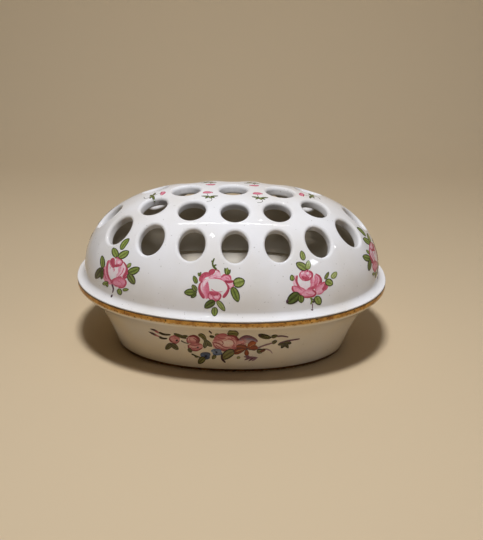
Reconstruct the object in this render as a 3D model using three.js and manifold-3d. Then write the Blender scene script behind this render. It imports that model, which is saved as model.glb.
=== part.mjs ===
// Oval porcelain jardiniere for cut flowers: a flared bowl for the water, and a domed cover
// whose holes hold the stems apart. The cover lifts straight off the bowl.
// Millimetres, +Z up, +X along the length. The origin is the middle of the foot, on the table.
import * as THREE from "three";
import { mergeVertices } from "three/addons/utils/BufferGeometryUtils.js";
import Module from "manifold-3d";

// Plan of both pieces: an oval, a little fuller than an ellipse
const OVAL_FULLNESS = 2.15; // 2 is a plain ellipse
const OVAL_SIDES = 48;

// Bowl
const RIM_LENGTH = 200;
const RIM_DEPTH = 140;
const FOOT_LENGTH = 150;
const FOOT_DEPTH = 91.5;
const BOWL_HEIGHT = 48.35;
const BOWL_WALL = 5;
const BOWL_FLOOR = 4.5;
const RIM_EDGE = 4.2; // height of the rim's upright edge, above the flare
const RIM_FLARE = 10; // how far the wall turns out past its straight lean, on each side
const RIM_FLARE_POWER = 4; // how late that turn comes
const FOOT_RING_WIDTH = 5;
const FOOT_RING_SLOPE = 1.5; // run of the ring's inner side
const FOOT_RECESS = 2.5;
const FLOOR_CORNER = 9; // radius between the inside wall and the floor

// Gold bands, fired on the bowl's rim and foot
const GOLD_THICKNESS = 0.4;
const GOLD_GAP = 0.3; // between a band and the porcelain round it
const RIM_BAND = 3.6;
const FOOT_BAND = 1.9;
const FOOT_BAND_LIFT = 0.4; // clear of the table

// Cover
const SEAT_GAP = 0.3; // between the bowl's rim and the cover's lip
const LIP_FLARE = 5; // how far the lip stands out from the dome
const LIP_HEIGHT = 4;
const LIP_EDGE = 1.7; // thickness of the lip at its rounded edge
const DOME_RISE = 53.4;
const COVER_WALL = 6;
const LOCATING_RING_DEPTH = 9;
const LOCATING_RING_THICKNESS = 3.2;
const LOCATING_CLEARANCE = 1.2; // between the ring and the inside of the bowl
// (run)^RUN + (rise)^RISE = 1 draws the dome's section along its length and across it
const LENGTHWAYS = { run: 2.8, rise: 2.1 };
const ACROSS = { run: 2.45, rise: 1.67 };

// Flower holes: two rows round the dome and one along its middle line
const OUTER_HOLE = { width: 15.8, height: 19.6 };
const INNER_HOLE = { width: 16.6, height: 16.6 };
const MIDDLE_HOLE = { width: 17, height: 17 };
const OUTER_ROW_IN = 0.25; // share of the way from the dome's edge to its middle line
const INNER_ROW_IN = 0.576;
const OUTER_PITCH = 25.6;
const INNER_PITCH = 26.1;
const MIDDLE_PITCH = 29.5;
const OUTER_ROW_SHIFT = 1.9; // how far round from the middle of the long side a row starts
const INNER_ROW_SHIFT = 1.3;
const INNER_ROW_BARE = 32; // least stretch without holes round each end of the inner row
const MIDDLE_ROW_BARE = 62; // the same, from the middle row's last hole to the dome's edge
const HOLE_LIP = 2.2; // radius that rounds each hole's outer edge
const HOLE_SIDES = 14;

// Levels along each profile
const WALL_STEPS = 9;
const DOME_STEPS = 12;
const INSIDE_DOME_STEPS = 9;
const CORNER_STEPS = 3;
const LIP_STEPS = 4; // in the lip's edge, and again in its sweep
const BAND_STEPS = 2;
const HOLE_LIP_STEPS = 2;

// Fineness of the search for places on the curved surfaces
const MERGE_REACH = 1e-4; // corners closer than this are one corner
const HALVINGS = 40;
const LAYING_PASSES = 4;
const SLOPE_REACH = 0.5; // half the stretch that a slope is taken over
const ROW_DIVISIONS = 720;
const COUNT_SLACK = 1e-6; // lets a row that fits exactly count as fitting

const wasm = await Module();
wasm.setup();

const seatHeight = BOWL_HEIGHT + SEAT_GAP;
const domeEdge = { halfLength: RIM_LENGTH / 2 - LIP_FLARE, halfDepth: RIM_DEPTH / 2 - LIP_FLARE };

const porcelain = (colour) =>
  new THREE.MeshStandardMaterial({ color: colour, roughness: 0.12, metalness: 0 });
const gold = (colour) =>
  new THREE.MeshStandardMaterial({ color: colour, roughness: 0.38, metalness: 1 });

// An oval level of a body: its half sizes and its height.
function level(halfLength, halfDepth, height) {
  return { halfLength, halfDepth, height };
}

// A level moved outwards by the same distance on every side.
function grown({ halfLength, halfDepth, height }, distance) {
  return level(halfLength + distance, halfDepth + distance, height);
}

// The point of an oval in the direction of an angle.
function ovalPoint(halfLength, halfDepth, angle, fullness) {
  const across = Math.cos(angle);
  const along = Math.sin(angle);
  const sum = Math.abs(across) ** fullness + Math.abs(along) ** fullness;
  const reach = sum ** (-1 / fullness);
  return new THREE.Vector2(halfLength * across * reach, halfDepth * along * reach);
}

// A body turned from a profile, then pressed to an oval at every level.
// The profile starts and ends on the axis or closes on itself, and rises on its outer side.
function ovalBody(levels, sides, fullness) {
  const profile = levels.map((at) => new THREE.Vector2(at.halfLength, at.height));
  const geometry = new THREE.LatheGeometry(profile, sides);
  const position = geometry.getAttribute("position");
  for (let i = 0; i < position.count; i++) {
    const { halfLength, halfDepth, height } = levels[i % levels.length];
    const angle = (2 * Math.PI * Math.floor(i / levels.length)) / sides;
    const point = ovalPoint(halfLength, halfDepth, angle, fullness);
    position.setXYZ(i, point.x, point.y, height);
  }
  return closedSurface(geometry);
}

// One surface with shared corners and no empty triangles.
function closedSurface(geometry) {
  geometry.deleteAttribute("normal");
  geometry.deleteAttribute("uv");
  const merged = mergeVertices(geometry, MERGE_REACH);
  const corners = merged.index.array;
  const kept = [];
  for (let i = 0; i < corners.length; i += 3) {
    const [a, b, c] = corners.slice(i, i + 3);
    if (a !== b && b !== c && c !== a) kept.push(a, b, c);
  }
  merged.setIndex(kept);
  merged.computeVertexNormals();
  return merged;
}

function solidOf(geometry) {
  const vertProperties = new Float32Array(geometry.getAttribute("position").array);
  const triVerts = new Uint32Array(geometry.index.array);
  return new wasm.Manifold(new wasm.Mesh({ numProp: 3, vertProperties, triVerts }));
}

function geometryOf(solid) {
  const { vertProperties, triVerts } = solid.getMesh();
  const geometry = new THREE.BufferGeometry();
  geometry.setAttribute("position", new THREE.BufferAttribute(vertProperties, 3));
  geometry.setIndex(new THREE.BufferAttribute(triVerts, 1));
  geometry.computeVertexNormals();
  return geometry;
}

// The bowl's outside at a height: a lean with a late flare, then the rim's upright edge.
function bowlOutside(height) {
  const share = Math.min(1, height / (BOWL_HEIGHT - RIM_EDGE));
  const widening = (rim, foot) =>
    (foot + (rim - foot) * share) / 2 + RIM_FLARE * (share ** RIM_FLARE_POWER - share);
  return level(widening(RIM_LENGTH, FOOT_LENGTH), widening(RIM_DEPTH, FOOT_DEPTH), height);
}

function bowlInside(height) {
  return grown(bowlOutside(height), -BOWL_WALL);
}

// Heights shared out evenly, both ends included.
function steps(from, to, count) {
  return Array.from({ length: count + 1 }, (_, i) => THREE.MathUtils.lerp(from, to, i / count));
}

function bowlGeometry() {
  const bandSeat = -(GOLD_THICKNESS + GOLD_GAP);
  const footBandTop = FOOT_BAND_LIFT + FOOT_BAND + GOLD_GAP;
  const rimBandFoot = BOWL_HEIGHT - RIM_BAND - 2 * GOLD_GAP;
  const floorTop = FOOT_RECESS + BOWL_FLOOR;
  const footRingInside = grown(bowlOutside(0), -FOOT_RING_WIDTH);
  const cornerStart = bowlInside(floorTop + FLOOR_CORNER);
  const corner = steps(0, Math.PI / 2, CORNER_STEPS).map((turn) => ({
    ...grown(cornerStart, FLOOR_CORNER * (Math.cos(turn) - 1)),
    height: floorTop + FLOOR_CORNER * (1 - Math.sin(turn)),
  }));
  const levels = [
    level(0, 0, FOOT_RECESS),
    { ...grown(footRingInside, -FOOT_RING_SLOPE), height: FOOT_RECESS },
    footRingInside,
    grown(bowlOutside(0), bandSeat),
    grown(bowlOutside(footBandTop), bandSeat),
    ...steps(footBandTop, rimBandFoot, WALL_STEPS).map(bowlOutside),
    grown(bowlOutside(rimBandFoot), bandSeat),
    grown(bowlOutside(BOWL_HEIGHT), bandSeat),
    ...steps(BOWL_HEIGHT, cornerStart.height, WALL_STEPS).slice(0, -1).map(bowlInside),
    ...corner,
    level(0, 0, floorTop),
  ];
  return ovalBody(levels, OVAL_SIDES, OVAL_FULLNESS);
}

// A gold band that follows the bowl's outside between two heights.
function bandGeometry(low, high) {
  const outside = steps(low, high, BAND_STEPS).map(bowlOutside);
  const inside = outside.map((at) => grown(at, -GOLD_THICKNESS)).reverse();
  return ovalBody([...outside, ...inside, outside[0]], OVAL_SIDES, OVAL_FULLNESS);
}

// A level of the dome, at a share of its rise above its edge. The cover's own frame starts at
// its seat, which is the underside of the lip.
function domeLevel(edge, rise, share) {
  const run = (curve) => Math.max(0, 1 - share ** curve.rise) ** (1 / curve.run);
  const height = LIP_HEIGHT + rise * share;
  return level(edge.halfLength * run(LENGTHWAYS), edge.halfDepth * run(ACROSS), height);
}

// The levels of a dome from its edge to its top, closer together where it curves more.
function domeLevels(edge, rise, count) {
  return steps(0, Math.PI / 2, count).map((turn, i) =>
    i === count ? level(0, 0, LIP_HEIGHT + rise) : domeLevel(edge, rise, Math.sin(turn)),
  );
}

// The lip: a rounded edge, then a hollow sweep up to the dome.
function lipLevels() {
  const edgeRadius = LIP_EDGE / 2;
  const edge = steps(-Math.PI / 2, Math.PI / 2, LIP_STEPS).map((turn) => ({
    ...grown(domeEdge, LIP_FLARE + edgeRadius * (Math.cos(turn) - 1)),
    height: edgeRadius * (1 + Math.sin(turn)),
  }));
  const sweepRun = LIP_FLARE - edgeRadius;
  const sweepRise = LIP_HEIGHT - LIP_EDGE;
  const sweep = steps(Math.PI / 2, 0, LIP_STEPS).map((turn) => ({
    ...grown(domeEdge, sweepRun * (1 - Math.cos(turn))),
    height: LIP_HEIGHT - sweepRise * Math.sin(turn),
  }));
  return [...edge, ...sweep.slice(1, -1)];
}

// The ring under the lip that keeps the cover from sliding off the bowl.
function locatingRingLevels() {
  const outside = (depth) => ({
    ...grown(bowlInside(BOWL_HEIGHT - depth), -LOCATING_CLEARANCE),
    height: -depth,
  });
  const bottom = outside(LOCATING_RING_DEPTH);
  return [grown(bottom, -LOCATING_RING_THICKNESS), bottom, outside(0)];
}

function plainCover() {
  const inside = grown(domeEdge, -COVER_WALL);
  const levels = [
    ...domeLevels(inside, DOME_RISE - COVER_WALL, INSIDE_DOME_STEPS).reverse(),
    ...locatingRingLevels(),
    ...lipLevels(),
    ...domeLevels(domeEdge, DOME_RISE, DOME_STEPS),
  ];
  return solidOf(ovalBody(levels, OVAL_SIDES, OVAL_FULLNESS));
}

// The height of the dome's outside over a point of the plan.
function domeHeight(x, y) {
  let low = 0;
  let high = 1;
  for (let i = 0; i < HALVINGS; i++) {
    const share = (low + high) / 2;
    const { halfLength, halfDepth } = domeLevel(domeEdge, DOME_RISE, share);
    const outside =
      Math.abs(x / halfLength) ** OVAL_FULLNESS + Math.abs(y / halfDepth) ** OVAL_FULLNESS > 1;
    if (outside) high = share;
    else low = share;
  }
  return LIP_HEIGHT + DOME_RISE * low;
}

function domePoint(x, y) {
  return new THREE.Vector3(x, y, domeHeight(x, y));
}

function domeNormal(x, y) {
  const alongX = domePoint(x + SLOPE_REACH, y).sub(domePoint(x - SLOPE_REACH, y));
  const alongY = domePoint(x, y + SLOPE_REACH).sub(domePoint(x, y - SLOPE_REACH));
  return alongX.cross(alongY).normalize();
}

// The plan of a row of holes, which starts near the middle of one long side.
class RowCurve extends THREE.Curve {
  constructor(shareIn, shift) {
    super();
    this.shift = shift;
    const inset = -shareIn * domeEdge.halfDepth;
    this.oval = grown({ ...domeEdge, height: 0 }, inset);
    this.arcLengthDivisions = ROW_DIVISIONS;
  }

  getPoint(t) {
    const angle = 2 * Math.PI * t - Math.PI / 2;
    const { halfLength, halfDepth } = this.oval;
    const point = ovalPoint(halfLength, halfDepth, angle, OVAL_FULLNESS);
    return new THREE.Vector3(point.x, point.y, 0);
  }

  holeAt(distance, size) {
    const length = this.getLength();
    const share = ((distance + this.shift) / length + 1) % 1;
    return { at: this.getPointAt(share), along: this.getTangentAt(share), size };
  }
}

// Offsets of copies at a pitch, centred on zero.
function centred(count, pitch) {
  return Array.from({ length: count }, (_, i) => (i - (count - 1) / 2) * pitch);
}

// The most copies at a pitch that fit in a length, and an odd number, so that one is central.
function oddCount(length, pitch) {
  return 2 * Math.floor(length / pitch / 2 + COUNT_SLACK) + 1;
}

function outerRowHoles() {
  const row = new RowCurve(OUTER_ROW_IN, OUTER_ROW_SHIFT);
  const count = 4 * Math.round(row.getLength() / OUTER_PITCH / 4);
  const pitch = row.getLength() / count;
  return Array.from({ length: count }, (_, i) => row.holeAt(i * pitch, OUTER_HOLE));
}

function innerRowHoles() {
  const row = new RowCurve(INNER_ROW_IN, INNER_ROW_SHIFT);
  const side = row.getLength() / 2;
  const offsets = centred(oddCount(side - INNER_ROW_BARE, INNER_PITCH), INNER_PITCH);
  return [0, side].flatMap((start) =>
    offsets.map((offset) => row.holeAt(start + offset, INNER_HOLE)),
  );
}

function middleRowHoles() {
  const length = 2 * (domeEdge.halfLength - MIDDLE_ROW_BARE);
  return centred(oddCount(length, MIDDLE_PITCH), MIDDLE_PITCH).map((x) => ({
    at: new THREE.Vector3(x, 0, 0),
    along: new THREE.Vector3(1, 0, 0),
    size: MIDDLE_HOLE,
  }));
}

// The body that cuts one hole: a straight throat that opens into a rounded outer edge, laid on
// the dome so that the rounding has the same depth all the way round.
function holeCutter({ at, along, size }) {
  const throat = level(size.width / 2, size.height / 2, -COVER_WALL - HOLE_LIP);
  const rounding = steps(Math.PI / 2, 0, HOLE_LIP_STEPS).map((turn) => ({
    ...grown(throat, HOLE_LIP * (1 - Math.sin(turn))),
    height: HOLE_LIP * (Math.cos(turn) - 1),
  }));
  const mouth = { ...rounding.at(-1), height: 2 * HOLE_LIP };
  const bottom = level(0, 0, throat.height);
  const top = level(0, 0, mouth.height);
  const geometry = ovalBody([bottom, throat, ...rounding, mouth, top], HOLE_SIDES, 2);

  const normal = domeNormal(at.x, at.y);
  const upSlope = normal.clone().cross(along).normalize();
  const sideways = upSlope.clone().cross(normal);
  const frame = new THREE.Matrix4().makeBasis(sideways, upSlope, normal);
  frame.setPosition(domePoint(at.x, at.y));
  geometry.applyMatrix4(frame);
  layOnDome(geometry, frame, normal);
  return solidOf(geometry);
}

// Moves every corner along the hole's axis by as much as the dome falls away from its tangent.
function layOnDome(geometry, frame, normal) {
  const position = geometry.getAttribute("position");
  const toHole = frame.clone().invert();
  const corner = new THREE.Vector3();
  for (let i = 0; i < position.count; i++) {
    corner.fromBufferAttribute(position, i);
    const foot = corner.clone().applyMatrix4(toHole).setZ(0).applyMatrix4(frame);
    const tangentPoint = foot.clone();
    for (let pass = 0; pass < LAYING_PASSES; pass++) {
      foot.addScaledVector(normal, (domeHeight(foot.x, foot.y) - foot.z) * normal.z);
    }
    corner.add(foot.sub(tangentPoint));
    position.setXYZ(i, corner.x, corner.y, corner.z);
  }
}

function coverGeometry() {
  const holes = [...outerRowHoles(), ...innerRowHoles(), ...middleRowHoles()];
  const pierced = holes.map(holeCutter).reduce((left, cut) => left.subtract(cut), plainCover());
  return geometryOf(pierced);
}

function part(name, geometry, material) {
  const mesh = new THREE.Mesh(geometry, material);
  mesh.name = name;
  return mesh;
}

const bowlAssembly = new THREE.Group();
const rimBandTop = BOWL_HEIGHT - GOLD_GAP;
bowlAssembly.add(
  part("bowl", bowlGeometry(), porcelain("#e6e3dd")),
  part("rim_gilding", bandGeometry(rimBandTop - RIM_BAND, rimBandTop), gold("#b07a32")),
  part("foot_gilding", bandGeometry(FOOT_BAND_LIFT, FOOT_BAND_LIFT + FOOT_BAND), gold("#7a5322")),
);

const coverAssembly = new THREE.Group();
coverAssembly.position.z = seatHeight;
coverAssembly.add(part("pierced_cover", coverGeometry(), porcelain("#e9e8ea")));

const jardiniere = new THREE.Group();
jardiniere.add(bowlAssembly, coverAssembly);

export default jardiniere;
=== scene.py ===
"""Oval porcelain jardiniere: a flared bowl, a pierced cover, their gilding and painted roses.

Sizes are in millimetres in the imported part's frame: +X along the length, +Z up, the origin in the
middle of the foot. A mesh is written in metres.
"""

import logging
import math
from collections.abc import Callable
from dataclasses import dataclass, field, replace
from enum import Enum
from typing import Any

import bmesh
import bpy
import numpy as np
from mathutils import Matrix, Vector
from mathutils.geometry import delaunay_2d_cdt


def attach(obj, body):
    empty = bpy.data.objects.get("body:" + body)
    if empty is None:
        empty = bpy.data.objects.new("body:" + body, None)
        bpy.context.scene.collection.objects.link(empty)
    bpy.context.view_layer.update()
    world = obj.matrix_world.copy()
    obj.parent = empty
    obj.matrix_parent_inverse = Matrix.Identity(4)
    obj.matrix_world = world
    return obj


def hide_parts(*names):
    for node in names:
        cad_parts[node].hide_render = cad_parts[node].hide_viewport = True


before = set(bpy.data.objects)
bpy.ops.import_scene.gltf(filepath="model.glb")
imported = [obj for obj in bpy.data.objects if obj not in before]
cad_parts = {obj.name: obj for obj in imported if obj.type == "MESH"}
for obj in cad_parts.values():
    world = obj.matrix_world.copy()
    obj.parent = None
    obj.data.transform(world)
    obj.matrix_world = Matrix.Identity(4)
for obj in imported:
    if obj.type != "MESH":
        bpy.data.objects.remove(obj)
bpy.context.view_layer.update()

log = logging.getLogger("jardiniere")

MM = 0.001
PLAN_FULLNESS = 2.15  # 2 is a plain ellipse: the plan of both pieces is a little fuller
ROUND_STEPS = 240  # points round each oval level
LOOK_STEPS = 240  # places tried along a line of sight
HALVINGS = 44  # steps that close in on a shell, to far below what shows
SECTION_STEPS = 2001  # places measured down a dome's section
ROW_STEPS = 7201  # places measured round a row of holes
NEAR_HOLE = 25.0  # points farther than this along a hole's axis aren't its own
CURVE_STEPS = 24  # places between two points of a brush stroke's path
FEWEST_ROWS = 9  # along and across even the smallest stroke
FEWEST_COLUMNS = 11
UNDER_COLUMNS = 5  # across the hidden underside of a stroke
SAME_PLACE = 1e-7  # points of a flat map that are closer than this are one
Array = np.ndarray
Tones = tuple[float, ...] | float  # an enamel's strengths across a stroke, or one for all of it
UP = np.array([0.0, 0.0, 1.0])


# Nodes and finishes


def linear(colour: str) -> tuple[float, float, float, float]:
    """Turn an sRGB hex colour into linear values with full alpha."""
    parts = [int(colour[i : i + 2], 16) / 255 for i in (1, 3, 5)]
    toned = [p / 12.92 if p <= 0.04045 else ((p + 0.055) / 1.055) ** 2.4 for p in parts]
    return (*toned, 1.0)


def add_node(
    tree: bpy.types.NodeTree,
    kind: str,
    settings: dict[Any, Any] | None = None,
    links: dict[Any, bpy.types.NodeSocket] | None = None,
) -> bpy.types.Node:
    """Add a node with its settings and links.

    Args:
        tree: The material's or world's node tree.
        kind: The node's type.
        settings: Property or input names with their values. The name "stops" holds the
            positions and hex colours of a colour ramp.
        links: Input names with the outputs that feed them.

    Returns:
        The new node.
    """
    node = tree.nodes.new(kind)
    for name, value in (settings or {}).items():
        if name == "stops":
            elements = node.color_ramp.elements
            while len(elements) < len(value):
                elements.new(1.0)
            for element, (position, colour) in zip(elements, value):
                element.position = position
                element.color = linear(colour)
        elif isinstance(name, str) and hasattr(node, name):
            setattr(node, name, value)
        else:
            node.inputs[name].default_value = value
    for name, source in (links or {}).items():
        tree.links.new(source, node.inputs[name])
    return node


def per_metre(size: float) -> float:
    """Give the texture scale whose features are about a size in millimetres."""
    return 1.0 / (size * MM)


@dataclass(frozen=True)
class Finish:
    """A finish that a piece can have, under the real material's name."""

    name: str

    def material(self) -> bpy.types.Material:
        """Make the finish's material."""
        made = bpy.data.materials.new(self.name)
        made.use_nodes = True
        tree = made.node_tree
        tree.nodes.clear()
        shader = self.shader(tree)
        add_node(tree, "ShaderNodeOutputMaterial", links={"Surface": shader.outputs[0]})
        return made

    def shader(self, tree: bpy.types.NodeTree) -> bpy.types.Node:
        """Build the finish's nodes.

        Args:
            tree: The empty node tree of the material.

        Returns:
            The shader node that the surface shows.
        """
        raise NotImplementedError


@dataclass(frozen=True)
class GlazedPorcelain(Finish):
    """Hard-paste porcelain, cast and dipped in clear glaze.

    The eye gets a cool white with faint clouds, a few fine kiln specks and sharp highlights that
    waver a little, because glaze never lies quite flat. The inside colour is painted light and
    shade: greyer on the cover, where it stands in for the shade in its hollow, and lighter in the
    bowl, where it stands in for the light that falls through the holes.
    """

    white: str = "#e8e7e9"
    cloud: str = "#dedad6"
    # painted shade: the cover's hollow, throats and ring grey towards this; the bowl gets a lighter
    # colour here, painted light
    inside: str = "#9d9382"
    speck: str = "#8b8378"
    cloud_size: float = 38.0
    speck_size: float = 1.1
    ripple_size: float = 9.0
    roughness: tuple[float, float] = (0.025, 0.06)
    ior: float = 1.5

    def shader(self, tree: bpy.types.NodeTree) -> bpy.types.Node:
        """Build the glaze: clouds, specks, the inside's painted light and shade, and a faint
        ripple.
        """
        place = add_node(tree, "ShaderNodeTexCoord").outputs["Object"]
        clouds = add_node(
            tree,
            "ShaderNodeTexNoise",
            {"Scale": per_metre(self.cloud_size), "Detail": 3.0},
            {"Vector": place},
        )
        body = add_node(
            tree,
            "ShaderNodeValToRGB",
            {"stops": ((0.42, self.white), (0.72, self.cloud))},
            {"Fac": clouds.outputs["Fac"]},
        )
        grains = add_node(
            tree,
            "ShaderNodeTexNoise",
            {"Scale": per_metre(self.speck_size), "Detail": 0.0},
            {"Vector": place},
        )
        specks = add_node(
            tree,
            "ShaderNodeMapRange",
            {"From Min": 0.81, "From Max": 0.85, "To Max": 0.5},
            {"Value": grains.outputs["Fac"]},
        )
        specked = add_node(
            tree,
            "ShaderNodeMix",
            {"data_type": "RGBA", 7: linear(self.speck)},
            {0: specks.outputs[0], 6: body.outputs["Color"]},
        )
        # the mesh's inside attribute mixes in the inside colour: painted shade on the cover,
        # painted light on the bowl
        inside_light_and_shade = add_node(tree, "ShaderNodeAttribute", {"attribute_name": "inside"})
        toned = add_node(
            tree,
            "ShaderNodeMix",
            {"data_type": "RGBA", 7: linear(self.inside)},
            {0: inside_light_and_shade.outputs["Fac"], 6: specked.outputs[2]},
        )
        ripple = add_node(
            tree,
            "ShaderNodeTexNoise",
            {"Scale": per_metre(self.ripple_size), "Detail": 1.0},
            {"Vector": place},
        )
        bump = add_node(
            tree,
            "ShaderNodeBump",
            {"Strength": 0.3, "Distance": 0.1 * MM},
            {"Height": ripple.outputs["Fac"]},
        )
        glossy, soft = self.roughness
        gloss = add_node(
            tree,
            "ShaderNodeMapRange",
            {"From Min": 0.35, "From Max": 0.7, "To Min": glossy, "To Max": soft},
            {"Value": clouds.outputs["Fac"]},
        )
        return add_node(
            tree,
            "ShaderNodeBsdfPrincipled",
            {"IOR": self.ior},
            {
                "Base Color": toned.outputs[2],
                "Roughness": gloss.outputs[0],
                "Normal": bump.outputs["Normal"],
            },
        )


@dataclass(frozen=True)
class WornGildingAndGapShadow(Finish):
    """Burnished gold fired on the glaze, and worn by handling.

    The eye gets a brown gold that shifts from spot to spot, dark pits, a dark line along the
    upper edge that is painted shadow of the gap under the cover's lip, and a thin lower edge where
    the porcelain shows through.
    """

    gold: str = "#d0a35b"
    deep: str = "#946738"
    pit: str = "#4a3218"
    # painted shadow: the dark line along the band's top, where the cover's lip shades the gap
    gap_shadow: str = "#2c1709"
    bare: str = "#d9c7a4"
    patch_size: float = 5.0
    pit_size: float = 1.3
    pitting: float = 0.62
    thin_edge: float = 0.25
    gap_shadow_edge: float = 0.86
    roughness: float = 0.33

    def shader(self, tree: bpy.types.NodeTree) -> bpy.types.Node:
        """Build the gold: patches, pits, the painted gap shadow along the upper edge and the thin
        lower edge.
        """
        place = add_node(tree, "ShaderNodeTexCoord").outputs["Object"]
        patches = add_node(
            tree,
            "ShaderNodeTexNoise",
            {"Scale": per_metre(self.patch_size), "Detail": 4.0, "Roughness": 0.6},
            {"Vector": place},
        )
        metal = add_node(
            tree,
            "ShaderNodeValToRGB",
            {"stops": ((0.35, self.deep), (0.62, self.gold))},
            {"Fac": patches.outputs["Fac"]},
        )
        pits = add_node(
            tree,
            "ShaderNodeTexNoise",
            {"Scale": per_metre(self.pit_size), "Detail": 2.0},
            {"Vector": place},
        )
        pitted = add_node(
            tree,
            "ShaderNodeMapRange",
            {"From Min": self.pitting, "From Max": self.pitting + 0.05},
            {"Value": pits.outputs["Fac"]},
        )
        dark = add_node(
            tree,
            "ShaderNodeMix",
            {"data_type": "RGBA", 7: linear(self.pit)},
            {0: pitted.outputs[0], 6: metal.outputs["Color"]},
        )
        height = add_node(tree, "ShaderNodeAttribute", {"attribute_name": "height"})
        # painted shadow: the top of the band is darkened into a dark line
        line = add_node(
            tree,
            "ShaderNodeMapRange",
            {"From Min": self.gap_shadow_edge, "From Max": self.gap_shadow_edge + 0.08, "To Max": 0.85},
            {"Value": height.outputs["Fac"]},
        )
        gap_shadowed = add_node(
            tree,
            "ShaderNodeMix",
            {"data_type": "RGBA", 7: linear(self.gap_shadow)},
            {0: line.outputs[0], 6: dark.outputs[2]},
        )
        ragged = add_node(
            tree,
            "ShaderNodeMath",
            {"operation": "MULTIPLY_ADD", 1: 0.5, 2: -0.25},
            {0: pits.outputs["Fac"]},
        )
        level = add_node(
            tree,
            "ShaderNodeMath",
            {"operation": "ADD"},
            {0: height.outputs["Fac"], 1: ragged.outputs[0]},
        )
        cover = add_node(
            tree,
            "ShaderNodeMapRange",
            {"From Min": self.thin_edge - 0.16, "From Max": self.thin_edge + 0.02},
            {"Value": level.outputs[0]},
        )
        seen = add_node(
            tree,
            "ShaderNodeMix",
            {"data_type": "RGBA", 6: linear(self.bare)},
            {0: cover.outputs[0], 7: gap_shadowed.outputs[2]},
        )
        metallic = add_node(
            tree, "ShaderNodeMapRange", {"To Min": 0.15, "To Max": 0.9}, {"Value": cover.outputs[0]}
        )
        bump = add_node(
            tree,
            "ShaderNodeBump",
            {"Strength": 0.3, "Distance": 0.05 * MM, "invert": True},
            {"Height": pitted.outputs[0]},
        )
        return add_node(
            tree,
            "ShaderNodeBsdfPrincipled",
            {"Roughness": self.roughness},
            {
                "Base Color": seen.outputs[2],
                "Metallic": metallic.outputs[0],
                "Normal": bump.outputs["Normal"],
            },
        )


@dataclass(frozen=True)
class EnamelColour(Finish):
    """Overglaze enamel: metal oxides in a soft glass, painted with a brush and fired.

    The eye gets a wash that is pale where it is thin and strong where it pools. The mesh's
    "strength" says how thick it lies, and fine streaks come from the brush.
    """

    stops: tuple[tuple[float, str], ...] = ()
    streak_size: float = 0.9
    streaks: float = 0.16

    def shader(self, tree: bpy.types.NodeTree) -> bpy.types.Node:
        """Build the wash: brush streaks in the thickness, then its colour."""
        place = add_node(tree, "ShaderNodeTexCoord").outputs["Object"]
        streaks = add_node(
            tree,
            "ShaderNodeTexNoise",
            {"Scale": per_metre(self.streak_size), "Detail": 2.0},
            {"Vector": place},
        )
        uneven = add_node(
            tree,
            "ShaderNodeMath",
            {"operation": "MULTIPLY_ADD", 1: 2 * self.streaks, 2: -self.streaks},
            {0: streaks.outputs["Fac"]},
        )
        thickness = add_node(tree, "ShaderNodeAttribute", {"attribute_name": "strength"})
        laid = add_node(
            tree,
            "ShaderNodeMath",
            {"operation": "ADD"},
            {0: thickness.outputs["Fac"], 1: uneven.outputs[0]},
        )
        wash = add_node(tree, "ShaderNodeValToRGB", {"stops": self.stops}, {"Fac": laid.outputs[0]})
        bump = add_node(
            tree,
            "ShaderNodeBump",
            {"Strength": 0.25, "Distance": 0.03 * MM},
            {"Height": streaks.outputs["Fac"]},
        )
        return add_node(
            tree,
            "ShaderNodeBsdfPrincipled",
            {"IOR": 1.5, "Roughness": 0.14},
            {"Base Color": wash.outputs["Color"], "Normal": bump.outputs["Normal"]},
        )


class Pigment(Enum):
    """The enamel colours of the painting, each from the oxide that gives it."""

    CARMINE = "carmine_enamel"
    DUSTY_ROSE = "dusty_rose_enamel"
    IRON_RED = "iron_red_enamel"
    COBALT = "cobalt_enamel"
    MANGANESE = "manganese_enamel"
    GREEN = "copper_green_enamel"
    SHADED_GREEN = "shaded_green_enamel"
    OLIVE = "olive_enamel"


GREENS = (Pigment.GREEN, Pigment.SHADED_GREEN, Pigment.OLIVE)
BARE_GLAZE = (0.0, "#e8e7e9")  # what shows where an enamel thins away
Wash = tuple[tuple[float, str], ...]


def evenly(*colours: str) -> Wash:
    """Spread a wash's colours evenly, from bare glaze to where it pools."""
    return BARE_GLAZE, *((i / len(colours), c) for i, c in enumerate(colours, 1))


WASHES: dict[Pigment, Wash] = {
    Pigment.CARMINE: evenly("#ecd1da", "#e19bb0", "#d06b85", "#b64a60", "#8c3248"),
    Pigment.DUSTY_ROSE: evenly("#e4c6c2", "#cc8b90", "#ae5d67", "#833841", "#541c20"),
    Pigment.IRON_RED: (BARE_GLAZE, (0.35, "#cb8a55"), (0.7, "#933d10"), (1.0, "#4a1a06")),
    Pigment.COBALT: (BARE_GLAZE, (0.35, "#9fadc4"), (0.7, "#5c6f94"), (1.0, "#1d253c")),
    Pigment.MANGANESE: (BARE_GLAZE, (0.35, "#bfa3b0"), (0.7, "#7d5569"), (1.0, "#3a2530")),
    Pigment.GREEN: evenly("#c0c48f", "#87964a", "#53622c", "#262413"),
    Pigment.SHADED_GREEN: evenly("#c0c48f", "#84914b", "#565c38", "#38212c"),
    Pigment.OLIVE: evenly("#bfba8c", "#827f4c", "#55532f", "#201b0d"),
}


# Forms


def oval(half_length: float, half_depth: float, angles: Array) -> Array:
    """Give the points of an oval in the directions of some angles.

    Args:
        half_length: Half size along X.
        half_depth: Half size along Y.
        angles: Angles in radians, anticlockwise from +X.

    Returns:
        One row of X and Y for each angle.
    """
    across, along = np.cos(angles), np.sin(angles)
    total = np.abs(across) ** PLAN_FULLNESS + np.abs(along) ** PLAN_FULLNESS
    reach = total ** (-1 / PLAN_FULLNESS)
    return np.column_stack((half_length * across * reach, half_depth * along * reach))


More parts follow.
